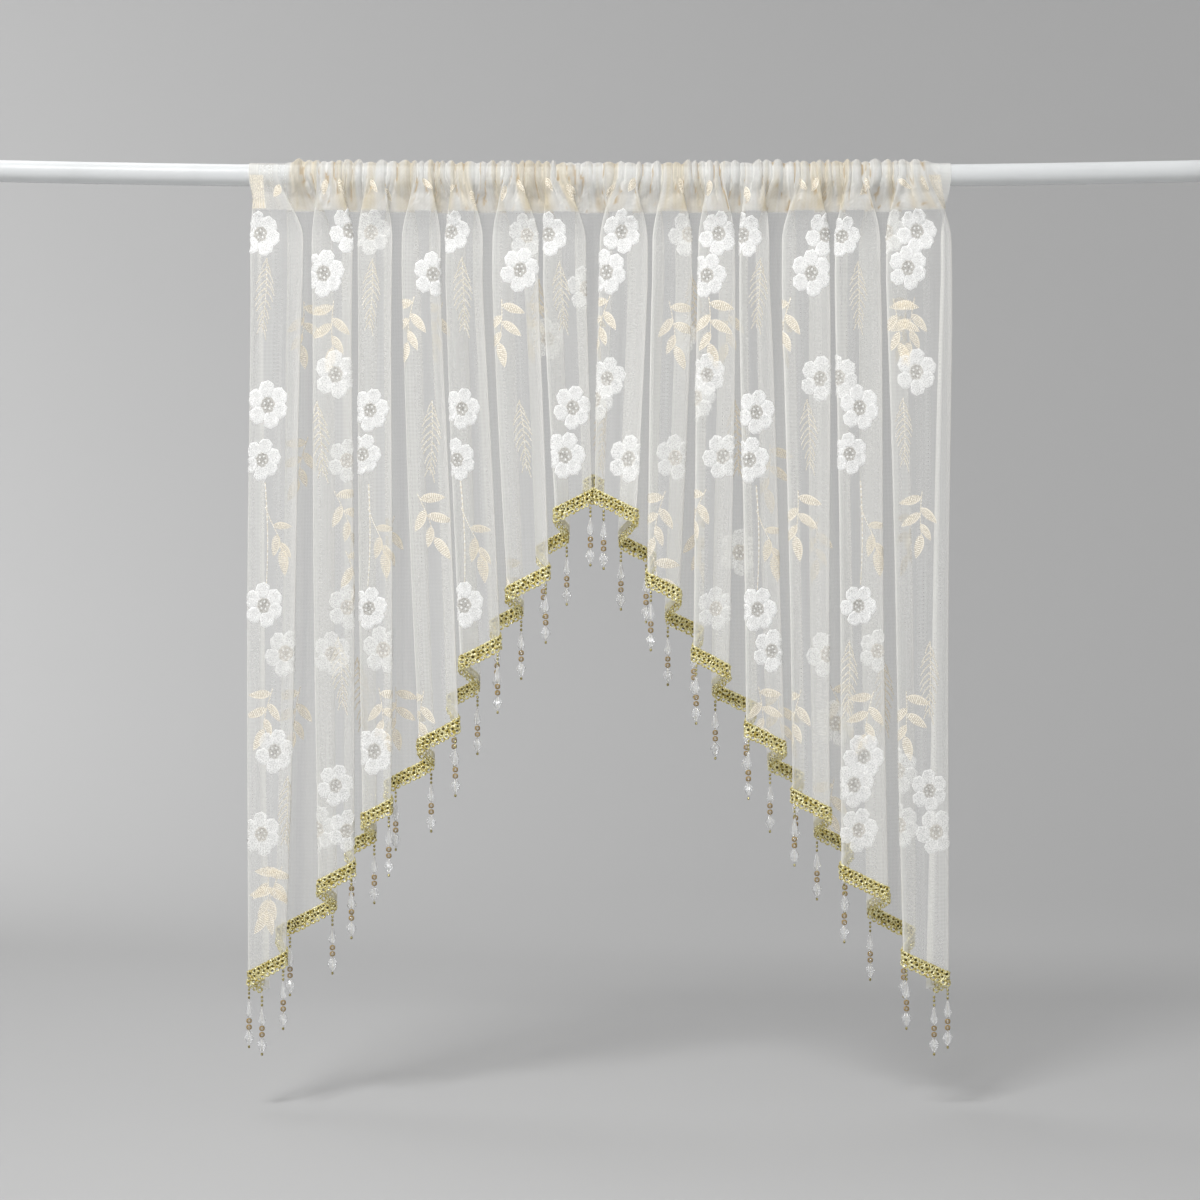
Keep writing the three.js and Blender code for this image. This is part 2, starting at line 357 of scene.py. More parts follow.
        # Slanting puckers cross the pleats of the pocket and stop soon below its stitches.
        reach = smooth(0.0, 14.0, drop) * (1.0 - smooth(self.stitch - 8.0, self.stitch + 24.0, drop))
        for slope, puckers in self.puckers:
            pleat = pleat + self.pucker_swing * puckers.at(head + slope * drop) * reach
        pocket = self.pocket * (1.0 - smooth(8.0, self.stitch + 37.0, drop))
        depth = place[..., 1] * deepen - pocket - (crown + pleat) * gathered
        ease = smooth(self.stitch + 15.0, self.full + 80.0, drop)
        depth = depth + self.crease * ease * np.sin(2.7 * span + 1.7 * np.sin(0.43 * span) + drop / 310.0)
        across = across + self.sway * ease * np.sin(drop / 140.0 + 1.1 * span)
        return np.stack([across, depth, self.rod_z(head) - drop], axis=-1)

    def flap(self, span: Array, share: float) -> Array:
        """Places on the turned edge behind the rod.

        Args:
            span: Spans along the folded section.
            share: 0 at the rod's back, 1 at the sewn edge.

        Returns:
            Places (x, y, z).
        """
        sewn = self.hang(span, self.stitch) + np.array([0.0, self.flap_gap, 0.0])
        places = lerp(self.over(span, 0.0), sewn, share)
        # The edge is held off the rod where a straight line would cut into it.
        away = places - np.stack([places[:, 0], 0.0 * span, self.rod_z(places[:, 0])], axis=-1)
        reach = np.linalg.norm(away, axis=1, keepdims=True)
        return places + away * np.maximum(self.pocket / reach - 1.0, 0.0)

    def normal(self, span: Array, drop: Array) -> Array:
        """Directions out of the cloth's right side.

        Args:
            span: Spans along the folded section.
            drop: Drops below the rod's axis.

        Returns:
            Directions of length 1.
        """
        reach = 0.03
        along = self.hang(np.clip(span + reach, 0, self.spans), drop)
        along = along - self.hang(np.clip(span - reach, 0, self.spans), drop)
        down = self.hang(span, drop + 1.5) - self.hang(span, drop - 1.5)
        out = np.cross(down, along)
        return out / np.maximum(np.linalg.norm(out, axis=-1, keepdims=True), 1e-9)

    def spot_at(self, x: float, drop: float, layer: Layer) -> Spot:
        """The spot of one layer that hangs at a place along the rod.

        Args:
            x: Place along the rod.
            drop: Drop below the rod's axis.
            layer: Front panels or back folds.

        Returns:
            The nearest spot.
        """
        firsts = np.arange(len(FOLDS))[:, None] * SPANS_PER_FOLD
        spans = (firsts + layer.value + np.linspace(-1.0, 1.0, 41)).ravel()
        spans = spans[spans < self.spans]
        places = self.hang(spans, drop)
        return Spot(float(spans[np.argmin(np.abs(places[:, 0] - x))]), drop)

    def lay(self, spot: Spot, local: Array) -> Array:
        """Wrap the points of a flat motif round the cloth, cut off at the hem.

        Args:
            spot: Where the motif's origin goes.
            local: Points (across, down, lift).

        Returns:
            Places (x, y, z).
        """
        line = self.hang(self.grid, spot.drop)[:, :2]
        ruler = np.concatenate([[0.0], np.cumsum(np.linalg.norm(np.diff(line, axis=0), axis=1))])
        home = np.interp(spot.span, self.grid, ruler)
        span = np.interp(home + local[:, 0], ruler, self.grid)
        span = np.clip(span, 0.04, self.spans - 0.04)
        drop = np.clip(spot.drop + local[:, 1], 1.0, self.hem_drop(span) + self.tail - 2.0)
        return self.hang(span, drop) + self.normal(span, drop) * local[:, 2:3]

    def hem_angle(self, side: Side) -> float:
        """Slope of the hem on the flat cloth, in radians."""
        length = self.left_length if side is Side.LEFT else self.right_length
        return math.atan2(self.side - self.apex, length)

    def along_hem(self, side: Side, local: Array) -> Array:
        """Places along the sloping hem.

        Args:
            side: Slope of the V.
            local: Points (along the hem from its outer end, square below it, lift).

        Returns:
            Places (x, y, z).
        """
        angle = self.hem_angle(side)
        level = local[:, 0] * math.cos(angle) + local[:, 1] * math.sin(angle)
        if side is Side.LEFT:
            length = np.clip(level, 0.0, self.left_length - 0.6)
        else:
            length = self.hem_lengths[-1] - np.clip(level, 0.0, self.right_length - 0.6)
        span = np.interp(length, self.hem_lengths, self.grid)
        drop = self.hem_drop(span) + local[:, 1] / math.cos(angle)
        return self.hang(span, drop) + self.normal(span, drop) * local[:, 2:3]


class Recipe:
    """The node tree of one finish.

    Args:
        name: Name of the material.
    """

    def __init__(self, name: str) -> None:
        """Start the tree from a plain shader."""
        self.material = bpy.data.materials.new(name)
        self.material.use_nodes = True
        self.tree = self.material.node_tree
        self.shader = self.tree.nodes["Principled BSDF"]

    def set(self, **values: object) -> None:
        """Set constant values on the shader's own sockets, underscores standing for spaces."""
        for name, value in values.items():
            self.shader.inputs[name.replace("_", " ")].default_value = value

    def add(self, kind: str, inputs: Optional[dict] = None, **settings: object) -> Node:
        """Add a node.

        Args:
            kind: Type of the node.
            inputs: Values or sockets for its inputs, by name or number.
            **settings: The node's own settings.

        Returns:
            The new node.
        """
        node = self.tree.nodes.new(kind)
        for name, value in settings.items():
            setattr(node, name, value)
        for key, value in (inputs or {}).items():
            self.feed(node.inputs[key], value)
        return node

    def feed(self, socket: Socket, value: object) -> None:
        """Give a socket a value, or link another socket to it.

        Args:
            socket: The socket.
            value: A value or a socket.
        """
        if isinstance(value, bpy.types.NodeSocket):
            self.tree.links.new(value, socket)
        else:
            socket.default_value = value

    def shade(self, name: str, value: Socket) -> None:
        """Link a socket to the shader."""
        self.tree.links.new(value, self.shader.inputs[name])

    def math(self, operation: str, first: object, second: object = 0.0, clamp: bool = False) -> Socket:
        """Result of a math node."""
        node = self.add("ShaderNodeMath", {0: first, 1: second}, operation=operation, use_clamp=clamp)
        return node.outputs[0]

    def uv(self, name: str, scale: tuple[float, float, float]) -> Socket:
        """A UV map, scaled."""
        source = self.add("ShaderNodeUVMap", uv_map=name)
        mapping = self.add("ShaderNodeMapping", {"Vector": source.outputs["UV"], "Scale": scale})
        return mapping.outputs["Vector"]

    def object_space(self, scale: float) -> Socket:
        """Object coordinates, scaled."""
        source = self.add("ShaderNodeTexCoord")
        mapping = self.add("ShaderNodeMapping", {"Vector": source.outputs["Object"], "Scale": (scale,) * 3})
        return mapping.outputs["Vector"]

    def noise(self, where: Socket, scale: float, detail: float = 3.0) -> Socket:
        """Noise from 0 to 1."""
        node = self.add("ShaderNodeTexNoise", {"Vector": where, "Scale": scale, "Detail": detail})
        return node.outputs["Fac"]

    def wave(self, where: Socket, scale: float, distortion: float, direction: str) -> Socket:
        """Bands from 0 to 1."""
        inputs = {"Vector": where, "Scale": scale, "Distortion": distortion, "Detail": 2.0}
        node = self.add("ShaderNodeTexWave", inputs, bands_direction=direction)
        return node.outputs["Fac"]

    def span(self, value: Socket, low: float, high: float, new_low: object, new_high: object) -> Socket:
        """A value moved from one range to another, clamped."""
        inputs = {0: value, 1: low, 2: high, 3: new_low, 4: new_high}
        return self.add("ShaderNodeMapRange", inputs).outputs[0]

    def mix(self, share: object, first: object, second: object) -> Socket:
        """Two colours mixed.

        Args:
            share: Share of the second, as a value or a socket.
            first: A colour or a socket.
            second: A colour or a socket.

        Returns:
            The mixed colour.
        """
        node = self.add("ShaderNodeMix", data_type="RGBA")
        self.feed(node.inputs["Factor"], share)
        self.feed(node.inputs[6], first if isinstance(first, bpy.types.NodeSocket) else (*first, 1.0))
        self.feed(node.inputs[7], second if isinstance(second, bpy.types.NodeSocket) else (*second, 1.0))
        return node.outputs[2]

    def attribute(self, name: str) -> Socket:
        """A number kept on the mesh."""
        return self.add("ShaderNodeAttribute", attribute_name=name).outputs["Fac"]

    def bump(self, height: Socket, distance: float, strength: float) -> None:
        """Give the shader a bump."""
        node = self.add("ShaderNodeBump", {"Height": height, "Distance": distance, "Strength": strength})
        self.shade("Normal", node.outputs["Normal"])


@dataclass(frozen=True)
class Voile:
    """Sheer white voile: fine weave in uneven streaks, denser at turned edges."""

    name: str = "sheer_voile"
    white: Colour = (0.9, 0.895, 0.86)
    cover: float = 0.1
    edge_and_painted_light_cover: float = 0.64
    drape_swing: float = 0.045
    weave_swing: float = 0.02
    threads: float = 70.0

    def tint(self, recipe: Recipe) -> None:
        """Give the cloth its colour."""
        recipe.set(Base_Color=(*self.white, 1.0))

    def layers(self, recipe: Recipe, cover: Socket) -> Socket:
        """Add what further layers of cloth cover."""
        return cover

    def material(self) -> bpy.types.Material:
        """Make the material.

        Returns:
            The material.
        """
        recipe = Recipe(self.name)
        recipe.set(Roughness=0.78, Sheen_Weight=0.25, Sheen_Roughness=0.4, Specular_IOR_Level=0.25)
        self.tint(recipe)
        flat = recipe.uv("flat", (1.0, 1.0, 1.0))
        drape = recipe.noise(recipe.uv("flat", (1.0, 0.03, 1.0)), 70.0, 2.0)
        warp = recipe.wave(flat, self.threads, 0.0, "X")
        weft = recipe.wave(flat, self.threads, 0.0, "Y")
        weave = recipe.math("ADD", warp, weft)
        thin, thick = self.cover - self.drape_swing, self.cover + self.drape_swing
        cover = recipe.span(drape, 0.35, 0.65, thin, thick)
        # The kept density also holds painted light on the front panels and painted shade on the back folds.
        edges = recipe.math("MULTIPLY", recipe.attribute("dense_and_painted_light"), self.edge_and_painted_light_cover)
        cover = self.layers(recipe, recipe.math("ADD", cover, edges))
        ribs = recipe.span(weave, 0.0, 2.0, -self.weave_swing, self.weave_swing)
        cover = recipe.math("ADD", cover, ribs, clamp=True)
        # The sheet's two faces count on the one that is met first. The other one adds less, because it
        # lies in the first one's shade.
        shade = recipe.math("POWER", recipe.math("SUBTRACT", 1.0, cover), 3.0)
        both = recipe.math("MULTIPLY", cover, recipe.math("ADD", 1.0, shade))
        inner = recipe.add("ShaderNodeNewGeometry").outputs["Backfacing"]
        recipe.shade("Alpha", recipe.math("MULTIPLY", both, recipe.math("SUBTRACT", 1.0, inner)))
        return recipe.material


@dataclass(frozen=True)
class HeadingVoile(Voile):
    """The doubled voile of the heading, with cream stitching that shows through it and gold painted shade
    in its creases.
    """

    name: str = "heading_voile"
    cream: Colour = (0.84, 0.755, 0.58)
    # Colour of the painted shade in the heading's creases.
    gold: Colour = (0.52, 0.37, 0.18)
    pocket_cover: float = 0.22
    crease_cover: float = 0.26

    def tint(self, recipe: Recipe) -> None:
        """Cream in upright bands, and gold painted shade in the creases.

        Args:
            recipe: The recipe of the finish.
        """
        band = recipe.noise(recipe.uv("flat", (1.0, 0.14, 1.0)), 34.0, 2.0)
        patch = recipe.noise(recipe.uv("flat", (1.0, 0.6, 1.0)), 58.0, 2.0)
        pocket = recipe.attribute("pocket")
        tint = recipe.math("MULTIPLY", recipe.span(band, 0.46, 0.58, 0.05, 0.95), pocket)
        # Painted shade: gold in the hollows of the creases, in patches.
        deep = recipe.math("MULTIPLY", recipe.span(recipe.attribute("crease"), 0.0, 1.0, 0.12, 1.0), pocket)
        deep = recipe.math("MULTIPLY", recipe.span(patch, 0.5, 0.57, 0.0, 0.95), deep)
        recipe.shade("Base Color", recipe.mix(deep, recipe.mix(tint, self.white, self.cream), self.gold))

    def layers(self, recipe: Recipe, cover: Socket) -> Socket:
        """Add the pocket's two layers and the close cloth of its creases."""
        pocket = recipe.math("MULTIPLY", recipe.attribute("pocket"), self.pocket_cover)
        crease = recipe.math("MULTIPLY", recipe.attribute("crease"), self.crease_cover)
        return recipe.math("ADD", recipe.math("ADD", cover, pocket), crease)


@dataclass(frozen=True)
class SatinStitch:
    """Satin stitch in one thread: close ridges, a netted or hatched inside and a solid rim."""

    name: str
    light: Colour
    dark_and_shade: Colour
    behind: Colour
    ridges: float
    hatch: float = 0.0
    gloss: float = 0.42
    net_cover: float = 0.62
    hatch_gap: float = 0.25

    def material(self) -> bpy.types.Material:
        """Make the material.

        Returns:
            The material.
        """
        recipe = Recipe(self.name)
        recipe.set(Roughness=self.gloss, Sheen_Weight=0.3, Sheen_Roughness=0.35, Specular_IOR_Level=0.45)
        chart = recipe.uv("chart", (1.0, 1.0, 1.0))
        ridge = recipe.wave(chart, self.ridges, 1.5, "X")
        place = recipe.add("ShaderNodeSeparateXYZ", {0: chart}).outputs["Y"]
        rim = recipe.span(place, 0.12, 0.3, 1.0, 0.0)
        net = recipe.noise(recipe.object_space(1.0), 620.0, 2.0)
        rows = recipe.span(ridge, 0.2, 0.8, 1.0 - self.hatch, 1.0)
        inside = recipe.math("MULTIPLY", recipe.span(net, 0.36, 0.58, 0.0, 1.0), rows)
        solid = recipe.math("MAXIMUM", inside, rim)
        # Painted shade: the thread is darker between its ridges. It is also darker where its net is open.
        thread = recipe.mix(recipe.math("MULTIPLY", solid, ridge), self.dark_and_shade, self.light)
        # A motif that is thinly filled shows the voile through its net, and turns to its behind colour.
        fill = recipe.attribute("fill")
        thread_share = recipe.span(fill, 0.5, 0.62, 0.0, 1.0)
        recipe.shade("Base Color", recipe.mix(thread_share, self.behind, thread))
        thin = recipe.math("MULTIPLY", fill, self.net_cover - self.hatch_gap * self.hatch)
        full = recipe.span(fill, 0.0, 1.0, 0.12, 1.0)
        recipe.shade("Alpha", recipe.span(solid, 0.0, 1.0, thin, full))
        recipe.bump(ridge, 0.0004, 0.7)
        return recipe.material


@dataclass(frozen=True)
class GoldThread:
    """Metallic gold yarn with a fine twist, mottled pale and olive as painted highlights and shade."""

    name: str
    light: Colour
    dark_and_shade: Colour
    metal: float
    gloss: float
    cover: float = 1.0
    through: float = 0.0

    def material(self) -> bpy.types.Material:
        """Make the material.

        Returns:
            The material.
        """
        recipe = Recipe(self.name)
        recipe.set(Metallic=self.metal, Specular_IOR_Level=0.6, Alpha=self.cover)
        recipe.set(Transmission_Weight=self.through, IOR=1.05 if self.through else 1.5)
        where = recipe.object_space(1.0)
        grain = recipe.noise(where, 520.0, 2.0)
        twist = recipe.wave(where, 260.0, 3.0, "DIAGONAL")
        # Painted highlights and shade: light gold on the noise's crowns, dark gold in its hollows and in
        # the twist's grooves.
        crown = recipe.span(grain, 0.42, 0.56, 0.0, 1.0)
        shade = recipe.math("MULTIPLY", crown, recipe.span(twist, 0.0, 1.0, 0.75, 1.0))
        recipe.shade("Base Color", recipe.mix(shade, self.dark_and_shade, self.light))
        recipe.shade("Roughness", recipe.span(grain, 0.3, 0.7, self.gloss + 0.15, self.gloss))
        recipe.bump(twist, 0.0003, 0.5)
        return recipe.material


@dataclass(frozen=True)
class CutGlass:
    """Glass bead, clear or coloured, with faint bubbles and rubbed facets."""

    name: str
    colour: Colour
    deep: Colour
    clear: float
    gloss: float
    bending: float
    cover: float
    rim_cover: Optional[float] = None

    def material(self) -> bpy.types.Material:
        """Make the material, whose thin wall looks deeper at the rim where a rim's cover is given.

        Returns:
            The material.
        """
        recipe = Recipe(self.name)
        recipe.set(IOR=self.bending, Transmission_Weight=self.clear)
        recipe.set(Specular_IOR_Level=0.7, Alpha=self.cover)
        if self.rim_cover is not None:
            facing = recipe.add("ShaderNodeLayerWeight", {"Blend": 0.5}).outputs["Facing"]
            recipe.shade("Alpha", recipe.span(facing, 0.08, 0.32, self.cover, self.rim_cover))
        cloud = recipe.noise(recipe.object_space(1.0), 300.0, 2.0)
        depth = recipe.span(cloud, 0.35, 0.65, 0.0, 1.0)
        recipe.shade("Base Color", recipe.mix(depth, self.colour, self.deep))
        recipe.shade("Roughness", recipe.span(cloud, 0.3, 0.7, self.gloss, self.gloss + 0.05))
        return recipe.material


@dataclass(frozen=True)
class GlossPaint:
    """White gloss paint on a steel tube, with a slight orange peel and faint rubbing."""

    white: Colour = (0.7, 0.715, 0.72)
    rubbed: Colour = (0.66, 0.675, 0.68)

    def material(self) -> bpy.types.Material:
        """Make the material.

        Returns:
            The material.
        """
        recipe = Recipe("white_rod_paint")
        recipe.set(Coat_Weight=0.1, Coat_Roughness=0.2, Specular_IOR_Level=0.25)
        where = recipe.object_space(1.0)
        rub = recipe.noise(where, 16.0, 4.0)
        peel = recipe.noise(where, 900.0, 2.0)
        worn = recipe.span(rub, 0.5, 0.75, 0.0, 1.0)
        recipe.shade("Base Color", recipe.mix(worn, self.white, self.rubbed))
        recipe.shade("Roughness", recipe.span(rub, 0.3, 0.7, 0.38, 0.48))
        recipe.bump(peel, 0.0002, 0.12)
        return recipe.material


@dataclass(frozen=True)
class StudioGrey:
    """Matt grey paper of the studio's floor and wall."""

    grey: Colour = (0.512, 0.512, 0.512)

    def material(self) -> bpy.types.Material:
        """Make the material.

        Returns:
            The material.
        """
        recipe = Recipe("studio_grey")
        recipe.set(Base_Color=(*self.grey, 1.0), Roughness=1.0, Specular_IOR_Level=0.0)
        return recipe.material


# The dark colour of each stitch is painted shade between its ridges.
WHITE_STITCH = SatinStitch("white_stitch", (1.0, 1.0, 0.99), (0.94, 0.94, 0.925), (0.97, 0.97, 0.95), 12.0)
GREY_STITCH = SatinStitch("grey_stitch", (0.84, 0.83, 0.8), (0.58, 0.56, 0.52), (0.76, 0.72, 0.65), 18.0)
CREAM_STITCH = SatinStitch(
    "cream_stitch", (0.97, 0.94, 0.87), (0.8, 0.72, 0.57), (0.78, 0.7, 0.55), 4.0, 0.8
)
PALE_STITCH = SatinStitch("pale_stitch", (1.0, 0.99, 0.95), (0.77, 0.71, 0.59), (0.76, 0.68, 0.54), 6.0)
# Each gold thread's light and dark colours are mixed as painted highlights and shade.
OLIVE_GROUND = GoldThread("olive_ground", (0.16, 0.12, 0.02), (0.045, 0.033, 0.005), 0.3, 0.5)
GOLD_RINGS = GoldThread("gold_rings", (1.0, 0.97, 0.62), (0.44, 0.33, 0.035), 0.12, 0.2)
PALE_BACKING = GoldThread("pale_backing", (0.95, 0.91, 0.7), (0.8, 0.72, 0.42), 0.0, 0.6)
GOLD_NET = GoldThread("gold_net", (1.0, 0.99, 0.86), (0.95, 0.9, 0.66), 0.0, 0.6, 0.24, 0.6)
BEAD_NYLON = GoldThread("bead_nylon", (0.9, 0.88, 0.8), (0.75, 0.7, 0.55), 0.0, 0.3)
GOLD_SEED = GoldThread("gold_seed", (0.62, 0.55, 0.28), (0.3, 0.25, 0.09), 0.7, 0.25)
CLEAR_GLASS = CutGlass("clear_glass", (1.0, 1.0, 1.0), (0.96, 0.97, 0.98), 0.65, 0.0, 1.4, 0.8)
AMBER_GLASS = CutGlass("amber_glass", (0.45, 0.31, 0.11), (0.28, 0.18, 0.05), 0.0, 0.05, 1.5, 0.26, 1.0)


def start_piece(name: str) -> Piece:
    """Name the object that an operator just added, and clear the rest of the selection.

    Args:
        name: Name of the piece.

    Returns:
        The piece.
    """
    piece = bpy.context.view_layer.objects.active
    piece.name = name
    piece.data.name = name
    for other in bpy.context.selected_objects:
        other.select_set(other is piece)
    return piece


def work_on(piece: Piece) -> None:
    """Select one piece alone and make it active."""
    bpy.ops.object.select_all(action="DESELECT")
    piece.select_set(True)
    bpy.context.view_layer.objects.active = piece


def close_mesh(piece: Piece, merge: float) -> None:
    """Merge doubled points and turn the faces outwards.

    Args:
        piece: The piece.
        merge: Distance under which points are merged, in the mesh's own unit.
    """
    work_on(piece)
    bpy.ops.object.mode_set(mode="EDIT")
    bpy.ops.mesh.select_all(action="SELECT")
    bpy.ops.mesh.remove_doubles(threshold=merge)
    bpy.ops.mesh.normals_make_consistent(inside=False)
    bpy.ops.object.mode_set(mode="OBJECT")


def thicken(piece: Piece, thickness: float, offset: float) -> None:
    """Give a sheet its thickness with an applied Solidify.

    Args:
        piece: The sheet.
        thickness: Its thickness, in the mesh's own unit.
        offset: Side to which it grows, from -1 to 1.
    """
    work_on(piece)
    bpy.ops.object.modifier_add(type="SOLIDIFY")
    wall = piece.modifiers[-1]
    wall.thickness = thickness
    wall.offset = offset
    bpy.ops.object.modifier_apply(modifier=wall.name)


def points_of(piece: Piece) -> Array:
    """Places of a mesh's points."""
    flat = np.zeros(len(piece.data.vertices) * 3)
    piece.data.vertices.foreach_get("co", flat)
    return flat.reshape(-1, 3)


def set_points(piece: Piece, places: Array) -> None:
    """Move a mesh's points."""
    piece.data.vertices.foreach_set("co", np.asarray(places, float).ravel())
    piece.data.update()


def grid_piece(name: str, places: Array) -> Piece:
    """A sheet whose points stand in rows and columns, shaped from a flat grid.

    Args:
        name: Name of the piece.
        places: Places by row and column.

    Returns:
        The sheet, open and without thickness.
    """
    rows, columns = places.shape[:2]
    bpy.ops.object.select_all(action="DESELECT")
    bpy.ops.mesh.primitive_grid_add(x_subdivisions=columns - 1, y_subdivisions=rows - 1, size=2.0)
    piece = start_piece(name)
    flat = points_of(piece)
    column = np.rint((flat[:, 0] + 1.0) / 2.0 * (columns - 1)).astype(int)
    row = np.rint((1.0 - flat[:, 1]) / 2.0 * (rows - 1)).astype(int)
    set_points(piece, places[row, column])
    return piece


def name_uv(piece: Piece, name: str, places: Optional[Array] = None) -> None:
    """Rename a piece's UV map, and fill it from places kept for each point.

    Args:
        piece: The piece.
        name: New name of its UV map.
        places: Places for its points, or None to leave the map as it is.
    """
    layer = piece.data.uv_layers[0]
    layer.name = name
    if places is not None:
        corners = np.zeros(len(piece.data.loops), int)
        piece.data.loops.foreach_get("vertex_index", corners)
        layer.uv.foreach_set("vector", places[corners].astype(np.float32).ravel())


def keep_number(piece: Piece, name: str, values: Array) -> None:
    """Keep one number for each point of a piece."""
    numbers = piece.data.attributes.new(name, "FLOAT", "POINT")
    numbers.data.foreach_set("value", values.astype(np.float32).ravel())


def finish_piece(
    piece: Piece, material: bpy.types.Material, nodes: Sequence[str] = (), shadow: bool = True
) -> Piece:
    """Dress a piece and fix it to the frame.

    Args:
        piece: The piece.
        material: Its finish.
        nodes: CAD nodes that it stands for.
        shadow: Whether it casts a shadow, which sheer cloth hardly does.

    Returns:
        The same piece.
    """
    piece.data.materials.clear()
    piece.data.materials.append(material)
    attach(piece, BODY)
    piece.visible_shadow = shadow
    if nodes:
        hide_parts(*nodes)
    LOG.info("%s: %d faces", piece.name, len(piece.data.polygons))
    return piece


@dataclass
class Template:
    """One small shape, modelled once and copied: points, faces and the chart of its corners."""

    points: Array
    faces: list[tuple[int, ...]]
    chart: Array

    @staticmethod
    def take(piece: Piece) -> "Template":
        """Read a template from a piece and remove the piece.

        Args:
            piece: The piece.

        Returns:
            The template.
        """
        mesh = piece.data
        faces = [tuple(face.vertices) for face in mesh.polygons]
        chart = np.zeros(len(mesh.loops) * 2, np.float32)
        if mesh.uv_layers:
            mesh.uv_layers[0].uv.foreach_get("vector", chart)
        template = Template(points_of(piece), faces, chart.reshape(-1, 2))
        bpy.data.objects.remove(piece)
        bpy.data.meshes.remove(mesh)
        return template

    def placed(
        self, size: float = 1.0, turn: float = 0.0, at: Sequence[float] = (0.0, 0.0, 0.0)
    ) -> "Template":
        """A copy, sized and turned in its own plane and moved.

        Args:
            size: Size across and down.
            turn: Degrees from down towards the left.
            at: Where its origin goes.

        Returns:
            The copy.
        """
        cos, sin = math.cos(math.radians(turn)), math.sin(math.radians(turn))
        across, down, lift = self.points.T
        new_across = size * (across * cos - down * sin)
        new_down = size * (across * sin + down * cos)
        moved = np.stack([new_across, new_down, lift], axis=-1)
        return Template(moved + np.array(at), self.faces, self.chart)

    def tipped(self, angle: float) -> "Template":
        """A copy tipped out of its own plane.

        Args:
            angle: Degrees that it is tipped.

        Returns:
            The copy.
        """
        cos, sin = math.cos(math.radians(angle)), math.sin(math.radians(angle))
        across, down, lift = self.points.T
        moved = np.stack([across, down * cos - lift * sin, down * sin + lift * cos], axis=-1)
        return Template(moved, self.faces, self.chart)

    @staticmethod
    def joined(parts: Sequence["Template"]) -> "Template":
        """Several templates as one.

        Args:
            parts: The templates.

        Returns:
            All of them together.
        """
        faces: list[tuple[int, ...]] = []
        count = 0
        for part in parts:
            faces += [tuple(index + count for index in face) for face in part.faces]
            count += len(part.points)
        chart = np.vstack([part.chart for part in parts])
        return Template(np.vstack([part.points for part in parts]), faces, chart)

    def piece(self, name: str, facets: float = 40.0) -> Piece:
        """Make an object of the template.

        Args:
            name: Name of the piece.
            facets: Degrees over which an edge stays sharp.

        Returns:
            The piece, in metres.
        """
        mesh = bpy.data.meshes.new(name)
        mesh.from_pydata((self.points * MM).tolist(), [], self.faces)
        mesh.uv_layers.new(name="chart").uv.foreach_set("vector", self.chart.astype(np.float32).ravel())
        piece = bpy.data.objects.new(name, mesh)
        bpy.context.scene.collection.objects.link(piece)
        work_on(piece)
        bpy.ops.object.mode_set(mode="EDIT")
        bpy.ops.mesh.select_all(action="SELECT")
        bpy.ops.mesh.normals_make_consistent(inside=False)
        bpy.ops.object.mode_set(mode="OBJECT")
        bpy.ops.object.shade_smooth_by_angle(angle=math.radians(facets))
        return piece


def pad(across: Array, down: Array, lift: Array, thickness: float) -> Template:
    """A closed pad of stitching, from the places of its middle surface by row and column.

    Args:
        across: Places across.
        down: Places down.
        lift: Height above the cloth.
        thickness: Thickness of the stitching.

    Returns:
        The pad.
    """
    sheet = grid_piece("pad", np.stack(np.broadcast_arrays(across, down, lift), axis=-1).astype(float))
    close_mesh(sheet, 0.001)
    thicken(sheet, thickness, 0.0)
    return Template.take(sheet)


def turned(profile: Sequence[tuple[float, float]], sides: int) -> Template:
    """A bead turned round its thread.

    Args:
        profile: Depths and half widths, from the top end to the bottom end.
        sides: Number of sides.

    Returns:
        The bead, hanging from its origin along -Z.
    """
    mesh = bpy.data.meshes.new("bead")
    outline = [(half, 0.0, -depth) for depth, half in profile]
    mesh.from_pydata(outline, [(i, i + 1) for i in range(len(outline) - 1)], [])
    bead = bpy.data.objects.new("bead", mesh)
    bpy.context.scene.collection.objects.link(bead)
    work_on(bead)
    bpy.ops.object.mode_set(mode="EDIT")
    bpy.ops.mesh.select_all(action="SELECT")
    bpy.ops.mesh.spin(steps=sides, angle=2.0 * math.pi, center=(0, 0, 0), axis=(0, 0, 1))
    bpy.ops.object.mode_set(mode="OBJECT")
    close_mesh(bead, 0.01)
    template = Template.take(bead)
    template.chart = np.zeros((sum(len(face) for face in template.faces), 2))
    return template


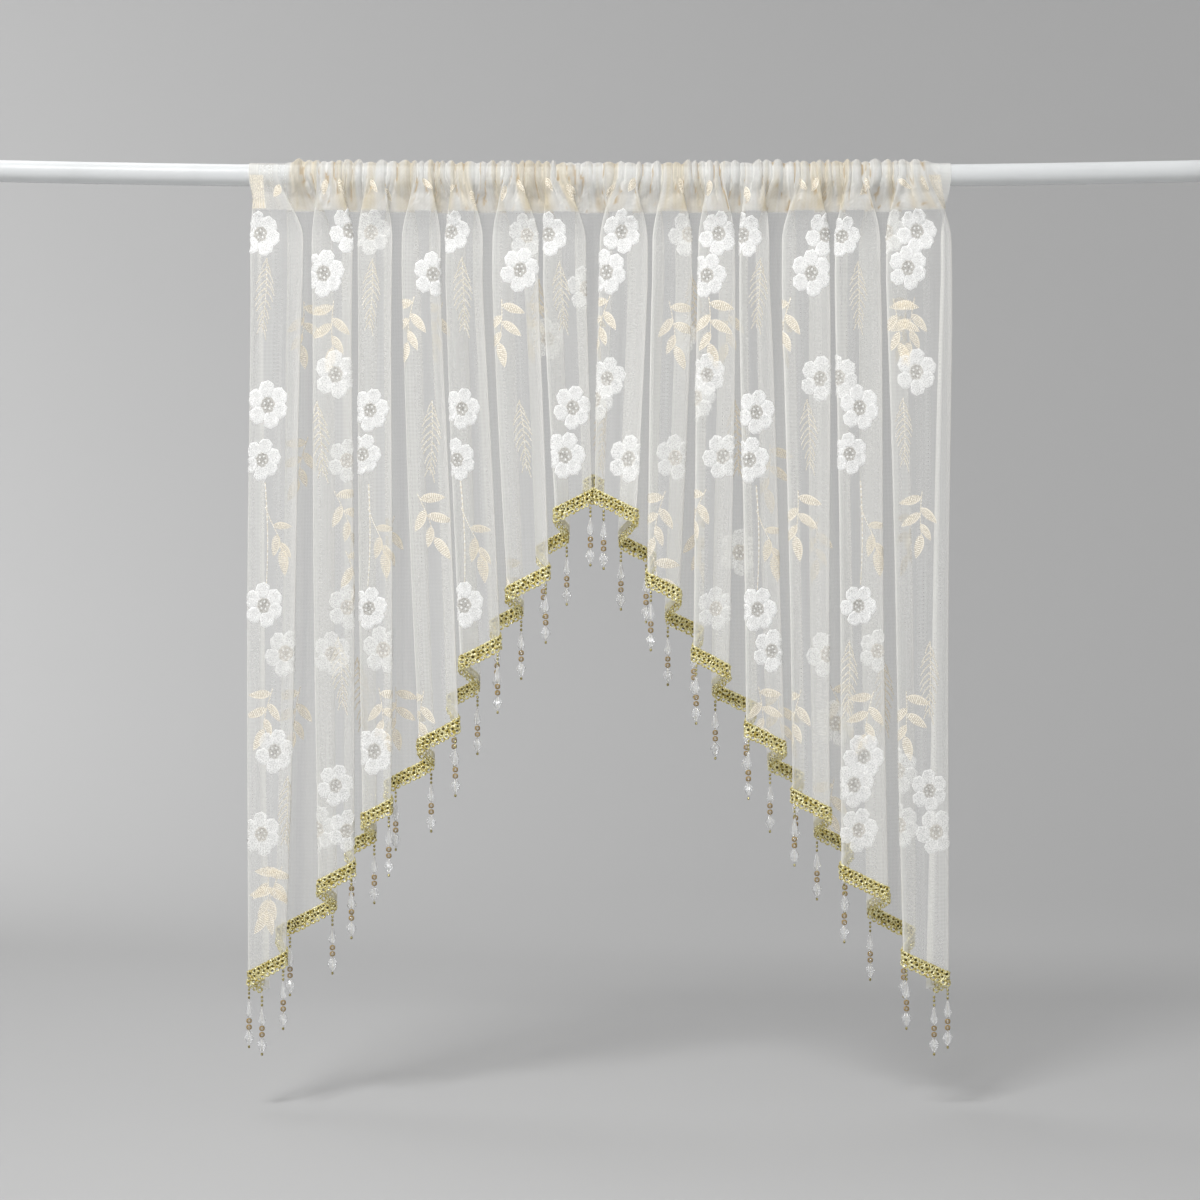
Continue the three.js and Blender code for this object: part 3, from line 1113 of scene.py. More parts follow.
@dataclass
class Rod:
    """White tube, bowed a little by its own hang."""

    radius: float = 12.5
    half: float = 710.0
    wall: float = 1.4
    edge: float = 0.54
    sides: int = 64
    steps: int = 28

    def build(self, cloth: HungCloth) -> Piece:
        """Model and dress the rod.

        Args:
            cloth: The cloth, which knows the rod's bow.

        Returns:
            The rod.
        """
        bpy.ops.object.select_all(action="DESELECT")
        bpy.ops.mesh.primitive_cylinder_add(
            vertices=self.sides,
            radius=self.radius,
            depth=2.0 * self.half,
            end_fill_type="NOTHING",
            rotation=(0.0, math.pi / 2.0, 0.0),
        )
        rod = start_piece("rod_tube")
        bpy.ops.object.transform_apply(location=False, rotation=True, scale=False)
        bpy.ops.object.mode_set(mode="EDIT")
        for step in range(1, self.steps):
            bpy.ops.mesh.select_all(action="SELECT")
            place = lerp(-self.half, self.half, step / self.steps)
            bpy.ops.mesh.bisect(plane_co=(place, 0.0, 0.0), plane_no=(1.0, 0.0, 0.0))
        bpy.ops.object.mode_set(mode="OBJECT")
        thicken(rod, self.wall, -1.0)
        work_on(rod)
        bpy.ops.object.modifier_add(type="BEVEL")
        bevel = rod.modifiers[-1]
        bevel.width = self.edge
        bevel.segments = 2
        bevel.limit_method = "ANGLE"
        bpy.ops.object.modifier_apply(modifier=bevel.name)
        places = points_of(rod)
        places[:, 2] += cloth.rod_z(places[:, 0])
        set_points(rod, places * MM)
        bpy.ops.object.shade_smooth_by_angle(angle=math.radians(35.0))
        return finish_piece(rod, GlossPaint().material(), ["rod"])


@dataclass
class VoilePanel:
    """The hung sheet of voile: the heading round the rod down to its stitches, and the folds below it."""

    cloth: HungCloth
    columns_per_span: int = 8
    flap_rows: int = 4
    over_rows: int = 13
    pocket_rows: int = 14
    neck_rows: int = 9
    fall_rows: int = 30
    thickness: float = 0.4
    edge_spans: float = 0.12
    slope_dense: float = 0.6
    front_painted_light: float = 0.09
    back_painted_shade: float = -0.1
    side_hem: tuple[float, float] = (6.0, 8.0)
    side_dense: float = 0.8
    pocket_thin: float = 0.75

    def spans(self) -> Array:
        """Spans of the columns, close together at the corners of the folds."""
        steps = 0.5 - 0.5 * np.cos(np.pi * np.arange(self.columns_per_span) / self.columns_per_span)
        return np.append((np.arange(self.cloth.spans)[:, None] + steps).ravel(), self.cloth.spans)

    def build(self) -> list[Piece]:
        """Model and dress the sheet.

        Returns:
            The folds and the heading.
        """
        cloth = self.cloth
        span = self.spans()
        shares = np.linspace(1.0, 0.0, self.flap_rows, endpoint=False)
        head = [cloth.flap(span, share) for share in shares]
        angles = np.linspace(0.0, 180.0, self.over_rows, endpoint=False)
        head += [cloth.over(span, angle) for angle in angles]
        head += [cloth.hang(span, drop) for drop in np.linspace(0.0, cloth.stitch, self.pocket_rows)]
        neck = np.linspace(cloth.stitch, cloth.full, self.neck_rows, endpoint=False)
        fall = [cloth.hang(span, drop) for drop in neck]
        end = cloth.hem_drop(span) + cloth.tail
        ways = np.linspace(0.0, 1.0, self.fall_rows)
        fall += [cloth.hang(span, lerp(cloth.full, end, way)) for way in ways]
        panel = self.sheet("voile_panel", span, np.array(fall))
        heading = self.sheet("voile_heading", span, np.array(head))
        return [
            finish_piece(panel, Voile().material(), ["curtain_panel"]),
            finish_piece(heading, HeadingVoile().material(), ["curtain_panel"]),
        ]

    def sheet(self, name: str, span: Array, places: Array) -> Piece:
        """A stretch of the sheet with its thickness.

        Args:
            name: Name of the piece.
            span: Span of each column.
            places: Places by row and column.

        Returns:
            The piece.
        """
        sheet = grid_piece(name, places * MM)
        self.chart(sheet, span, places)
        thicken(sheet, self.thickness * MM, 0.0)
        bpy.ops.object.shade_smooth_by_angle(angle=math.radians(70.0))
        return sheet

    def chart(self, sheet: Piece, span: Array, places: Array) -> None:
        """Keep the flat place of each point, and its density with painted light and shade.

        Args:
            sheet: The sheet, whose points are in the grid's own order.
            span: Span of each column.
            places: Places by row and column.
        """
        rows, columns = places.shape[:2]
        across = np.linalg.norm(np.diff(places, axis=1), axis=2)
        down = np.linalg.norm(np.diff(places, axis=0), axis=2)
        flat = np.zeros((rows, columns, 2))
        flat[:, 1:, 0] = np.cumsum(across[-1])
        flat[1:, :, 1] = -np.cumsum(down, axis=0)
        along = np.gradient(places, axis=1)
        fall = np.gradient(places, axis=0)
        out = np.cross(fall, along)
        out /= np.maximum(np.linalg.norm(out, axis=2, keepdims=True), 1e-9)
        dense_and_painted_light = self.slope_dense * smooth(0.2, 0.95, 1.0 - np.abs(out[..., 1]))
        fold = (span - 1.0) % SPANS_PER_FOLD
        for turn, weight in ((0.0, 1.0), (2.0, 1.0), (3.0, 0.5), (5.0, 0.5), (6.0, 1.0)):
            dense_and_painted_light = np.maximum(dense_and_painted_light, weight * np.exp(-(((fold - turn) / self.edge_spans) ** 2)))
        # Front panels catch the light and back folds lie in their shade: this is painted into the cover.
        front = smooth(-0.3, 0.2, fold) * (1.0 - smooth(1.8, 2.3, fold))
        back = smooth(2.7, 3.2, fold) * (1.0 - smooth(4.8, 5.3, fold))
        dense_and_painted_light = dense_and_painted_light + self.front_painted_light * front + self.back_painted_shade * back
        edge = np.minimum(flat[..., 0], flat[..., 0].max() - flat[..., 0])
        dense_and_painted_light = np.maximum(dense_and_painted_light, self.side_dense * (1.0 - smooth(*self.side_hem, edge)))
        drop = self.cloth.rod_z(places[..., 0]) - places[..., 2]
        pocket = 1.0 - smooth(self.cloth.stitch - 1.0, self.cloth.stitch + 1.0, drop)
        dense_and_painted_light = dense_and_painted_light * (1.0 - self.pocket_thin * pocket)
        hollow = np.zeros(drop.shape)
        bend = places[:, 2:] + places[:, :-2] - 2.0 * places[:, 1:-1]
        hollow[:, 1:-1] = np.sum(bend * out[:, 1:-1], axis=2)
        # This marks the heading's hollows, which get gold painted shade and more cover.
        crease = smooth(0.25, 1.1, hollow) * pocket
        pocket = pocket * lerp(0.25, 1.0, self.cloth.gathered(self.cloth.head_x(span)))
        index = self.order(sheet, places)
        name_uv(sheet, "flat", flat.reshape(-1, 2)[index] * MM)
        keep_number(sheet, "dense_and_painted_light", dense_and_painted_light.ravel()[index])
        keep_number(sheet, "pocket", pocket.ravel()[index])
        keep_number(sheet, "crease", crease.ravel()[index])

    @staticmethod
    def order(sheet: Piece, places: Array) -> Array:
        """For each point of the sheet, its number counted along the rows.

        Args:
            sheet: The sheet.
            places: Places by row and column.

        Returns:
            The numbers.
        """
        rows, columns = places.shape[:2]
        layer = np.zeros(len(sheet.data.loops) * 2, np.float32)
        sheet.data.uv_layers[0].uv.foreach_get("vector", layer)
        corners = np.zeros(len(sheet.data.loops), int)
        sheet.data.loops.foreach_get("vertex_index", corners)
        flat = layer.reshape(-1, 2)
        numbers = np.zeros(rows * columns, int)
        column = np.rint(flat[:, 0] * (columns - 1)).astype(int)
        row = np.rint((1.0 - flat[:, 1]) * (rows - 1)).astype(int)
        numbers[corners] = row * columns + column
        return numbers


class MotifRow(NamedTuple):
    """Motifs that stand level: their drop, their places along the rod, and how full they are."""

    drop: float
    places: tuple[float, ...]
    fill: float = 1.0


class Placing(NamedTuple):
    """One motif on the cloth: its spot, its size, its turn in degrees, and how full it is."""

    spot: Spot
    size: float
    turn: float
    fill: float


FLOWERS = (
    MotifRow(67, (-385, -284, -169, -58, 25, 135, 162, 256, 275, 360)),
    MotifRow(110, (-314, -189, -90, 7, 121, 239, 348)),
    MotifRow(228, (-300, 9, 121, 249, 271, 358), 0.6),
    MotifRow(265, (-377, -261, -157, -31, 177, 294)),
    MotifRow(321, (-383, -269, -162, -40, 169, 283)),
    MotifRow(321, (32, 139), 0.6),
    MotifRow(490, (-381, -262, -154, 179, 293)),
    MotifRow(542, (-356, -246, 314), 0.35),
    MotifRow(542, (194,), 0.8),
    MotifRow(658, (-368, -256, 299), 0.65),
    MotifRow(696, (-299, 288, 373), 0.6),
    MotifRow(747, (-384, -287, 293, 381), 0.55),
)
FERNS = (
    MotifRow(96, (-377, -258, -156, -46, 182, 293)),
    MotifRow(254, (-321, -190, -91, 235, 343)),
    MotifRow(527, (-296, 283, 374)),
    MotifRow(681, (-353,)),
)
SPRAYS = (
    MotifRow(140, (-211, -111, 11, 123, 217, 333), 0.8),
    MotifRow(140, (-302, 78, 356), 0.6),
    MotifRow(358, (-207, 120, 225, 365), 0.75),
    MotifRow(358, (-301, 74), 0.6),
    MotifRow(430, (-288, -110, 60), 0.65),
    MotifRow(584, (-370, -251, -199, 179, 311, 347), 0.7),
    MotifRow(584, (228,), 0.6),
    MotifRow(784, (-376, -359), 0.7),
)
STEMS = (MotifRow(350, (-380, -263, -158, 177, 295)),)
HEADING_LEAVES = (
    MotifRow(4, (-311, -292, -260, -201, -93, -62, 55, 97, 124, 205, 260, 315, 329, 364)),
    MotifRow(14, (-342, -228, -165, -129, -107, -30, -16, 17, 161, 304)),
)
FAINT_FLOWERS = (
    MotifRow(68, (-260, -82, 100, 322), 0.3),
    MotifRow(129, (-12,), 0.25),
    MotifRow(250, (-6, 105), 0.3),
    MotifRow(321, (-287, 85), 0.3),
    MotifRow(490, (-286, 131), 0.3),
    MotifRow(540, (-304, 258), 0.25),
    MotifRow(680, (332,), 0.25),
    MotifRow(742, (-332, 335), 0.3),
)
BACK_FLOWERS = (
    MotifRow(180, (-60, 90), 0.4),
    MotifRow(430, (160,), 0.4),
    MotifRow(620, (270,), 0.4),
)
BACK_FERNS = (
    MotifRow(110, (-70, 105), 0.5),
    MotifRow(255, (5, 155), 0.5),
    MotifRow(550, (-278, 325), 0.5),
)
BACK_SPRAYS = (
    MotifRow(140, (-339, -180, -84, 152, 390), 0.55),
    MotifRow(300, (-335, 195), 0.45),
    MotifRow(385, (-235, 108, 251, 385), 0.55),
    MotifRow(584, (-343, -234, 205, 264), 0.55),
    MotifRow(690, (268,), 0.55),
)


@dataclass
class Embroidery:
    """Satin-stitched flowers, fern sprigs, leaf sprays and stems, wrapped on the cloth's folds."""

    cloth: HungCloth
    petals: int = 6
    flower_radius: float = 26.0
    flower_squash: float = 0.88
    petal_size: tuple[float, float] = (0.36, 0.36)
    petal_reach: float = 0.65
    knots: int = 5
    knot_radius: float = 1.3
    knot_reach: float = 0.17
    fern_length: float = 82.0
    fern_width: float = 10.5
    barbs: int = 10
    leaf_length: float = 28.0
    leaf_width: float = 10.5
    thread: float = 1.9
    patch: tuple[float, float] = (15.0, 38.0)
    flower_sway: float = 25.0
    fern_sway: float = 5.0
    spray_sway: float = 14.0
    bit_sway: float = 60.0
    bit_size: float = 0.65
    stem_sway: float = 2.0
    stem_fill: float = 0.56
    seed: int = 23
    made: list[Piece] = field(default_factory=list)

    def petal(self) -> Template:
        """One petal round its own middle, with a scalloped and raised rim.

        Returns:
            The petal.
        """
        angles = np.linspace(0.0, 2.0 * math.pi, 22)[None, :]
        share = np.array([0.0, 0.6, 0.88, 1.0])[:, None]
        scallop = 1.0 + 0.07 * np.cos(7.0 * angles) * share ** 4 + 0.05 * np.sin(3.0 * angles + 0.6)
        wide, long = self.petal_size
        across = self.flower_radius * wide * share * scallop * np.cos(angles)
        down = self.flower_radius * long * share * scallop * np.sin(angles)
        lift = np.array([0.45, 0.55, 0.85, 0.2])[:, None]
        return pad(across, down, lift + 0.0 * across, 0.6)

    def flower(self) -> Template:
        """Overlapping petals, and the knots in the eye.

        Returns:
            The flower.
        """
        rng = np.random.default_rng(self.seed + 1)
        petal = self.petal()
        parts = []
        for number in range(self.petals):
            turn = number * 360.0 / self.petals + float(rng.uniform(-9.0, 9.0))
            angle = math.radians(turn + 90.0)
            reach = self.flower_radius * self.petal_reach * float(rng.uniform(0.93, 1.04))
            at = (reach * math.cos(angle), reach * math.sin(angle), 0.3 * (number % 2))
            parts.append(petal.placed(float(rng.uniform(0.88, 1.08)), turn, at))
        knot = self.knot()
        reach = self.flower_radius * self.knot_reach
        for number in range(self.knots):
            angle = number * 2.0 * math.pi / self.knots
            parts.append(knot.placed(at=(reach * math.cos(angle), reach * math.sin(angle), 1.0)))
        return Template.joined(parts)

    def knot(self) -> Template:
        """One French knot."""
        profile = [(-0.6, 0.05), (-0.3, self.knot_radius), (0.3, self.knot_radius), (0.6, 0.05)]
        return turned(profile, 6)

    def eye(self) -> Template:
        """Stitched disc of a flower's eye, with a raised ring.

        Returns:
            The eye.
        """
        angles = np.linspace(0.0, 2.0 * math.pi, 25)[None, :]
        share = np.array([0.0, 0.14, 0.23, 0.29, 0.34])[:, None]
        radius = self.flower_radius * share * (1.0 + 0.05 * np.cos(angles * 8.0))
        lift = np.array([0.5, 0.5, 0.6, 1.1, 0.6])[:, None]
        return pad(radius * np.cos(angles), radius * np.sin(angles), lift + 0.0 * radius, 0.6)

    def strand(self, ends: Sequence[tuple[float, float]], width: float) -> Template:
        """A line of stitches through some points, tapered to its far end.

        Args:
            ends: Points (across, down).
            width: Width at its root.

        Returns:
            The strand.
        """
        path = np.array(ends, float)
        along = np.gradient(path, axis=0)
        along /= np.linalg.norm(along, axis=1, keepdims=True)
        square = np.stack([-along[:, 1], along[:, 0]], axis=1)
        half = width / 2.0 * np.linspace(1.0, 0.55, len(path))[:, None]
        sides = np.stack([path - square * half, path + square * half], axis=0)
        return pad(sides[..., 0], sides[..., 1], np.full(sides.shape[:2], 0.3), 0.55)

    def fern(self) -> Template:
        """A hanging sprig with barbs to both sides.

        Returns:
            The sprig.
        """
        down = np.linspace(0.0, self.fern_length, 8)
        parts = [self.strand([(1.2 * math.sin(d / 25.0), d) for d in down], 1.0)]
        rng = np.random.default_rng(self.seed + 2)
        for number in range(self.barbs):
            share = (number + 0.5) / self.barbs
            for hand in (-1.0, 1.0):
                root = share * self.fern_length * 0.94 + float(rng.uniform(-1.5, 1.5)) + 1.5 * hand
                swell = 0.5 + 0.5 * math.sin(math.pi * min(1.0, share * 1.25))
                reach = hand * self.fern_width * swell * float(rng.uniform(0.8, 1.15))
                fall = float(rng.uniform(11.0, 16.0))
                ends = [(0.0, root), (reach * 0.6, root + fall * 0.45), (reach, root + fall)]
                parts.append(self.strand(ends, self.thread))
        return Template.joined(parts)

    def leaf(self) -> Template:
        """One leaf, pointing down from its root.

        Returns:
            The leaf.
        """
        share = np.linspace(0.0, 1.0, 8)[None, :]
        half = self.leaf_width / 2.0 * np.sin(np.pi * share ** 0.8) ** 0.8 + 0.15
        side = np.array([-1.0, -0.5, 0.0, 0.5, 1.0])[:, None]
        lift = 0.3 + 0.4 * (1.0 - np.abs(side)) * np.sin(np.pi * share)
        across = half * side + 0.8 * np.sin(2.4 * share)
        return pad(across, self.leaf_length * share + 0.0 * side, lift, 0.6)

    def spray(self, hand: float) -> Template:
        """A hanging stem with broad leaves, most of them to one side.

        Args:
            hand: 1 for leaves to the left, -1 for leaves to the right.

        Returns:
            The spray.
        """
        leaf = self.leaf()
        curve = [(-hand * 7.0 * math.sin(d / 30.0), d) for d in np.linspace(0.0, 50.0, 9)]
        parts = [self.strand(curve, 1.1)]
        plan = ((1, 82.0, 1.0), (3, -38.0, 0.95), (4, 64.0, 1.0), (6, -24.0, 0.85), (8, 22.0, 1.05))
        for step, turn, size in plan:
            parts.append(leaf.placed(size, hand * turn, (*curve[step], 0.0)))
        return Template.joined(parts)

    def end_patch(self) -> Template:
        """A stitched strip, the bit of a large leaf that is turned in at the end of the heading.

        Returns:
            The strip.
        """
        width, length = self.patch
        rows = np.linspace(0.0, length, 6)[:, None]
        columns = np.linspace(-width / 2.0, width / 2.0, 5)[None, :]
        return pad(columns + 0.0 * rows, rows + 0.0 * columns, np.full((6, 5), 0.4), 0.6)

    def trailing_stem(self) -> Template:
        """A long thin stem with a short branch."""
        main = [(2.5 * math.sin(d / 40.0), d) for d in np.linspace(0.0, 118.0, 12)]
        branch = [(0.0, 28.0), (6.0, 44.0), (14.0, 60.0), (19.0, 78.0)]
        return Template.joined([self.strand(main, 1.6), self.strand(branch, 1.3)])

    def stem_leaves(self) -> Template:
        """The leaves that hang from a trailing stem's branch.

        Returns:
            The leaves.
        """
        leaf = self.leaf()
        plan = (
            ((9.0, 50.0), -84.0, 0.8),
            ((14.0, 60.0), 12.0, 0.95),
            ((17.0, 70.0), -34.0, 0.8),
            ((19.0, 78.0), -6.0, 1.1),
        )
        return Template.joined([leaf.placed(size, turn, (*at, 0.0)) for at, turn, size in plan])

    def scatter(
        self, template: Template, placings: Sequence[Placing], squash: float = 1.0
    ) -> tuple[Template, Array]:
        """Wrap copies of a motif on the cloth.

        Args:
            template: The motif.
            placings: Where the copies go.
            squash: Width of the copies, as a share of their own.

        Returns:
            All the copies as one, and how full each of their points is.
        """
        copies = []
        for placing in placings:
            copy = template.placed(placing.size, placing.turn)
            local = copy.points * np.array([squash, 1.0, 1.0])
            copies.append(Template(self.cloth.lay(placing.spot, local), copy.faces, copy.chart))
        fills = np.repeat([placing.fill for placing in placings], len(template.points))
        return Template.joined(copies), fills

    def placings(
        self, front: Sequence[MotifRow], back: Sequence[MotifRow], rng: np.random.Generator, sway: float
    ) -> list[Placing]:
        """Charted motifs, with a little unevenness.

        Args:
            front: The chart of the front panels.
            back: The chart of the back folds, which show faintly through the front.
            rng: Source of the unevenness.
            sway: Most that a motif turns, in degrees.

        Returns:
            Where each motif goes.
        """
        found = []
        for layer, rows in ((Layer.FRONT, front), (Layer.BACK, back)):
            for row in rows:
                for x in row.places:
                    drop = max(2.0, row.drop + float(rng.uniform(-4.0, 4.0)))
                    size = float(rng.uniform(0.92, 1.07))
                    spot = self.cloth.spot_at(x, drop, layer)
                    found.append(Placing(spot, size, float(rng.uniform(-sway, sway)), row.fill))
        return found

    def piece(self, name: str, parts: Sequence[tuple[Template, Array]], finish: bpy.types.Material) -> None:
        """Make one dressed piece of wrapped motifs.

        Args:
            name: Name of the piece.
            parts: Wrapped motifs, each with how full its points are.
            finish: Its thread.
        """
        piece = Template.joined([part[0] for part in parts]).piece(name)
        keep_number(piece, "fill", np.concatenate([part[1] for part in parts]))
        self.made.append(finish_piece(piece, finish, shadow=False))

    def build(self) -> list[Piece]:
        """Model and dress all the stitching.

        Returns:
            The pieces.
        """
        rng = np.random.default_rng(self.seed)
        threads = (WHITE_STITCH, GREY_STITCH, CREAM_STITCH, PALE_STITCH)
        white, grey, cream, pale = (thread.material() for thread in threads)
        blooms = self.placings(FLOWERS + FAINT_FLOWERS, BACK_FLOWERS, rng, self.flower_sway)
        sprigs = self.placings(FERNS, BACK_FERNS, rng, self.fern_sway)
        leaves = self.placings(SPRAYS, BACK_SPRAYS, rng, self.spray_sway)
        bits = self.placings(HEADING_LEAVES, (), rng, self.bit_sway)
        bits = [placing._replace(size=self.bit_size) for placing in bits]
        stems = self.placings(STEMS, (), rng, self.stem_sway)
        hanging = [placing._replace(fill=self.stem_fill) for placing in stems]
        ends = [Placing(Spot(span, 1.5), 1.0, 0.0, 0.6) for span in (0.95, self.cloth.spans - 0.8)]
        self.piece("flower_petals", [self.scatter(self.flower(), blooms, self.flower_squash)], white)
        self.piece("flower_eyes", [self.scatter(self.eye(), blooms, self.flower_squash)], grey)
        self.piece("fern_sprigs", [self.scatter(self.fern(), sprigs)], pale)
        sprays = [self.scatter(self.spray(1.0), leaves[0::2]), self.scatter(self.spray(-1.0), leaves[1::2])]
        sprays.append(self.scatter(self.stem_leaves(), hanging))
        self.piece("leaf_sprays", sprays, cream)
        strips = [self.scatter(self.leaf(), bits), self.scatter(self.end_patch(), ends)]
        self.piece("heading_leaves", strips, cream)
        self.piece("trailing_stems", [self.scatter(self.trailing_stem(), stems)], pale)
        return self.made


class Loop(NamedTuple):
    """One gold ring of the braid: its place in the repeat, its radius and the radius of its yarn."""

    along: float
    below: float
    radius: float
    yarn: float


RING_ROWS = (
    Loop(0.0, -3.6, 2.4, 1.0),
    Loop(6.3, -3.9, 2.1, 0.95),
    Loop(3.1, 1.2, 2.2, 1.0),
    Loop(9.5, 0.9, 2.5, 1.05),
    Loop(0.0, 6.0, 2.6, 1.05),
    Loop(6.3, 6.3, 2.3, 0.95),
)


@dataclass
class BraidTrim:
    """Gold braid along one slope of the V: rows of small rings on an olive ground, under a thin cord."""

    cloth: HungCloth
    side: Side
    top: float = 1.4
    ground_depth: float = 10.2
    scallop: float = 3.0
    pitch: float = 12.6
    middle: float = 7.4
    tip: float = 22.0
    cord_thread: float = 0.7
    lift: float = 0.9
    backing: float = 0.4
    seed: int = 41

    def length(self) -> float:
        """Length of the slope."""
        angle = self.cloth.hem_angle(self.side)
        level = self.cloth.left_length if self.side is Side.LEFT else self.cloth.right_length
        return level / math.cos(angle)

    def wrap(self, template: Template) -> Template:
        """Carry a flat stretch of braid onto the hem."""
        return Template(self.cloth.along_hem(self.side, template.points), template.faces, template.chart)

    def along(self, span: float) -> float:
        """Length along the slope, from its outer end, of a span.

        Args:
            span: Span along the folded section.

        Returns:
            The length.
        """
        level = float(np.interp(span, self.cloth.grid, self.cloth.hem_lengths))
        if self.side is Side.RIGHT:
            level = self.cloth.left_length + self.cloth.right_length - level
        return level / math.cos(self.cloth.hem_angle(self.side))

    def band(self, start: float, end: float, lift: float) -> Template:
        """A stretch of band with a scalloped lower edge.

        Args:
            start: Where it starts along the slope.
            end: Where it ends.
            lift: Its height above the cloth.

        Returns:
            The band.
        """
        along = np.linspace(start, end, max(4, int((end - start) / 2.0)))[None, :]
        share = np.array([0.0, 0.35, 0.7, 1.0])[:, None]
        scallop = self.scallop * np.abs(np.sin(np.pi * along / self.pitch))
        below = lerp(self.top, self.ground_depth + scallop, share)
        return pad(along + 0.0 * below, below, np.full(below.shape, lift), 0.4)

    def turns(self) -> list[tuple[float, float]]:
        """Starts and ends, along the slope, of the fronts and backs of the folds.

        Returns:
            The starts and ends, from the outer end inwards.
        """
        found = []
        for fold in range(len(FOLDS)):
            for layer in Layer:
                middle = fold * SPANS_PER_FOLD + layer.value
                ends = sorted(self.along(min(middle + step, self.cloth.spans)) for step in (-1.0, 1.0))
                start, end = max(ends[0], 0.0), min(ends[1], self.length() - 3.0)
                if end - start > 4.0:
                    found.append((start, end))
        return sorted(found)

    def panels(self, lift: float) -> Template:
        """Bands on the fronts and backs of the folds, at a height above the cloth."""
        return self.wrap(Template.joined([self.band(start, end, lift) for start, end in self.turns()]))

    def laps(self, lift: float) -> Template:
        """Bands where the cloth turns between the panels.

        Args:
            lift: Their height above the cloth.

        Returns:
            The bands.
        """
        turns = [(0.0, 0.0), *self.turns(), (self.length(), self.length())]
        gaps = [(before[1], after[0]) for before, after in zip(turns, turns[1:])]
        bands = [self.band(start, end, lift) for start, end in gaps if end - start > 1.0]
        return self.wrap(Template.joined(bands))

    def ring(self, loop: Loop) -> Template:
        """One loop of yarn, a little flattened.

        Args:
            loop: Its sizes.

        Returns:
            The loop round its own middle.
        """
        bpy.ops.object.select_all(action="DESELECT")
        bpy.ops.mesh.primitive_torus_add(
            major_segments=12,
            minor_segments=4,
            major_radius=loop.radius,
            minor_radius=loop.yarn,
        )
        ring = start_piece("ring")
        bpy.ops.object.mode_set(mode="EDIT")
        bpy.ops.mesh.select_all(action="SELECT")
        bpy.ops.transform.resize(value=(1.0, 1.1, 0.9))
        bpy.ops.object.mode_set(mode="OBJECT")
        return Template.take(ring)

    def cord(self) -> Template:
        """Two twisted strands along the top edge.

        Returns:
            The cord, laid flat.
        """
        along = np.linspace(0.0, self.length(), 720)
        strands = []
        around = np.linspace(0.0, 2.0 * math.pi, 6)[:, None]
        for start in (0.0, math.pi):
            turn = along / 1.6 + start
            middle = self.top + 0.7 * np.sin(turn)
            height = self.lift + 0.2 + 0.5 * np.cos(turn)
            below = middle + self.cord_thread * np.cos(around)
            lift = height + self.cord_thread * np.sin(around)
            sheet = grid_piece("cord", np.stack(np.broadcast_arrays(along[None, :], below, lift), axis=-1))
            close_mesh(sheet, 0.001)
            strands.append(Template.take(sheet))
        return Template.joined(strands)

    def build(self) -> list[Piece]:
        """Model and dress the braid.

        Returns:
            The ground, its backing, the sheer net of the laps and the gold work.
        """
        name = self.side.value
        node = f"braid_{name}"
        threads = (OLIVE_GROUND, GOLD_RINGS, PALE_BACKING, GOLD_NET)
        olive, gold, pale, net = (thread.material() for thread in threads)
        ground = self.panels(self.lift).piece(f"braid_ground_{name}")
        back = self.panels(self.backing).piece(f"braid_backing_{name}")
        sheer = self.laps(self.backing).piece(f"braid_net_{name}")
        loops = [(loop, self.ring(loop)) for loop in RING_ROWS]
        copies = [self.cord()]
        rng = np.random.default_rng(self.seed)
        for number in range(int(self.length() / self.pitch)):
            for loop, ring in loops:
                along = (number + 0.5) * self.pitch + loop.along + float(rng.uniform(-0.6, 0.6))
                at = (along, self.middle + loop.below + float(rng.uniform(-0.5, 0.5)), self.lift + 0.8)
                tipped = ring.tipped(float(rng.uniform(-self.tip, self.tip)))
                size = float(rng.uniform(0.9, 1.1))
                turn = float(rng.uniform(0.0, 360.0))
                copies.append(tipped.placed(size, turn, at))
        rings = self.wrap(Template.joined(copies)).piece(f"braid_rings_{name}", 60.0)
        return [
            finish_piece(ground, olive, [node]),
            finish_piece(back, pale, [node]),
            finish_piece(sheer, net, [node]),
            finish_piece(rings, gold, [node]),
        ]


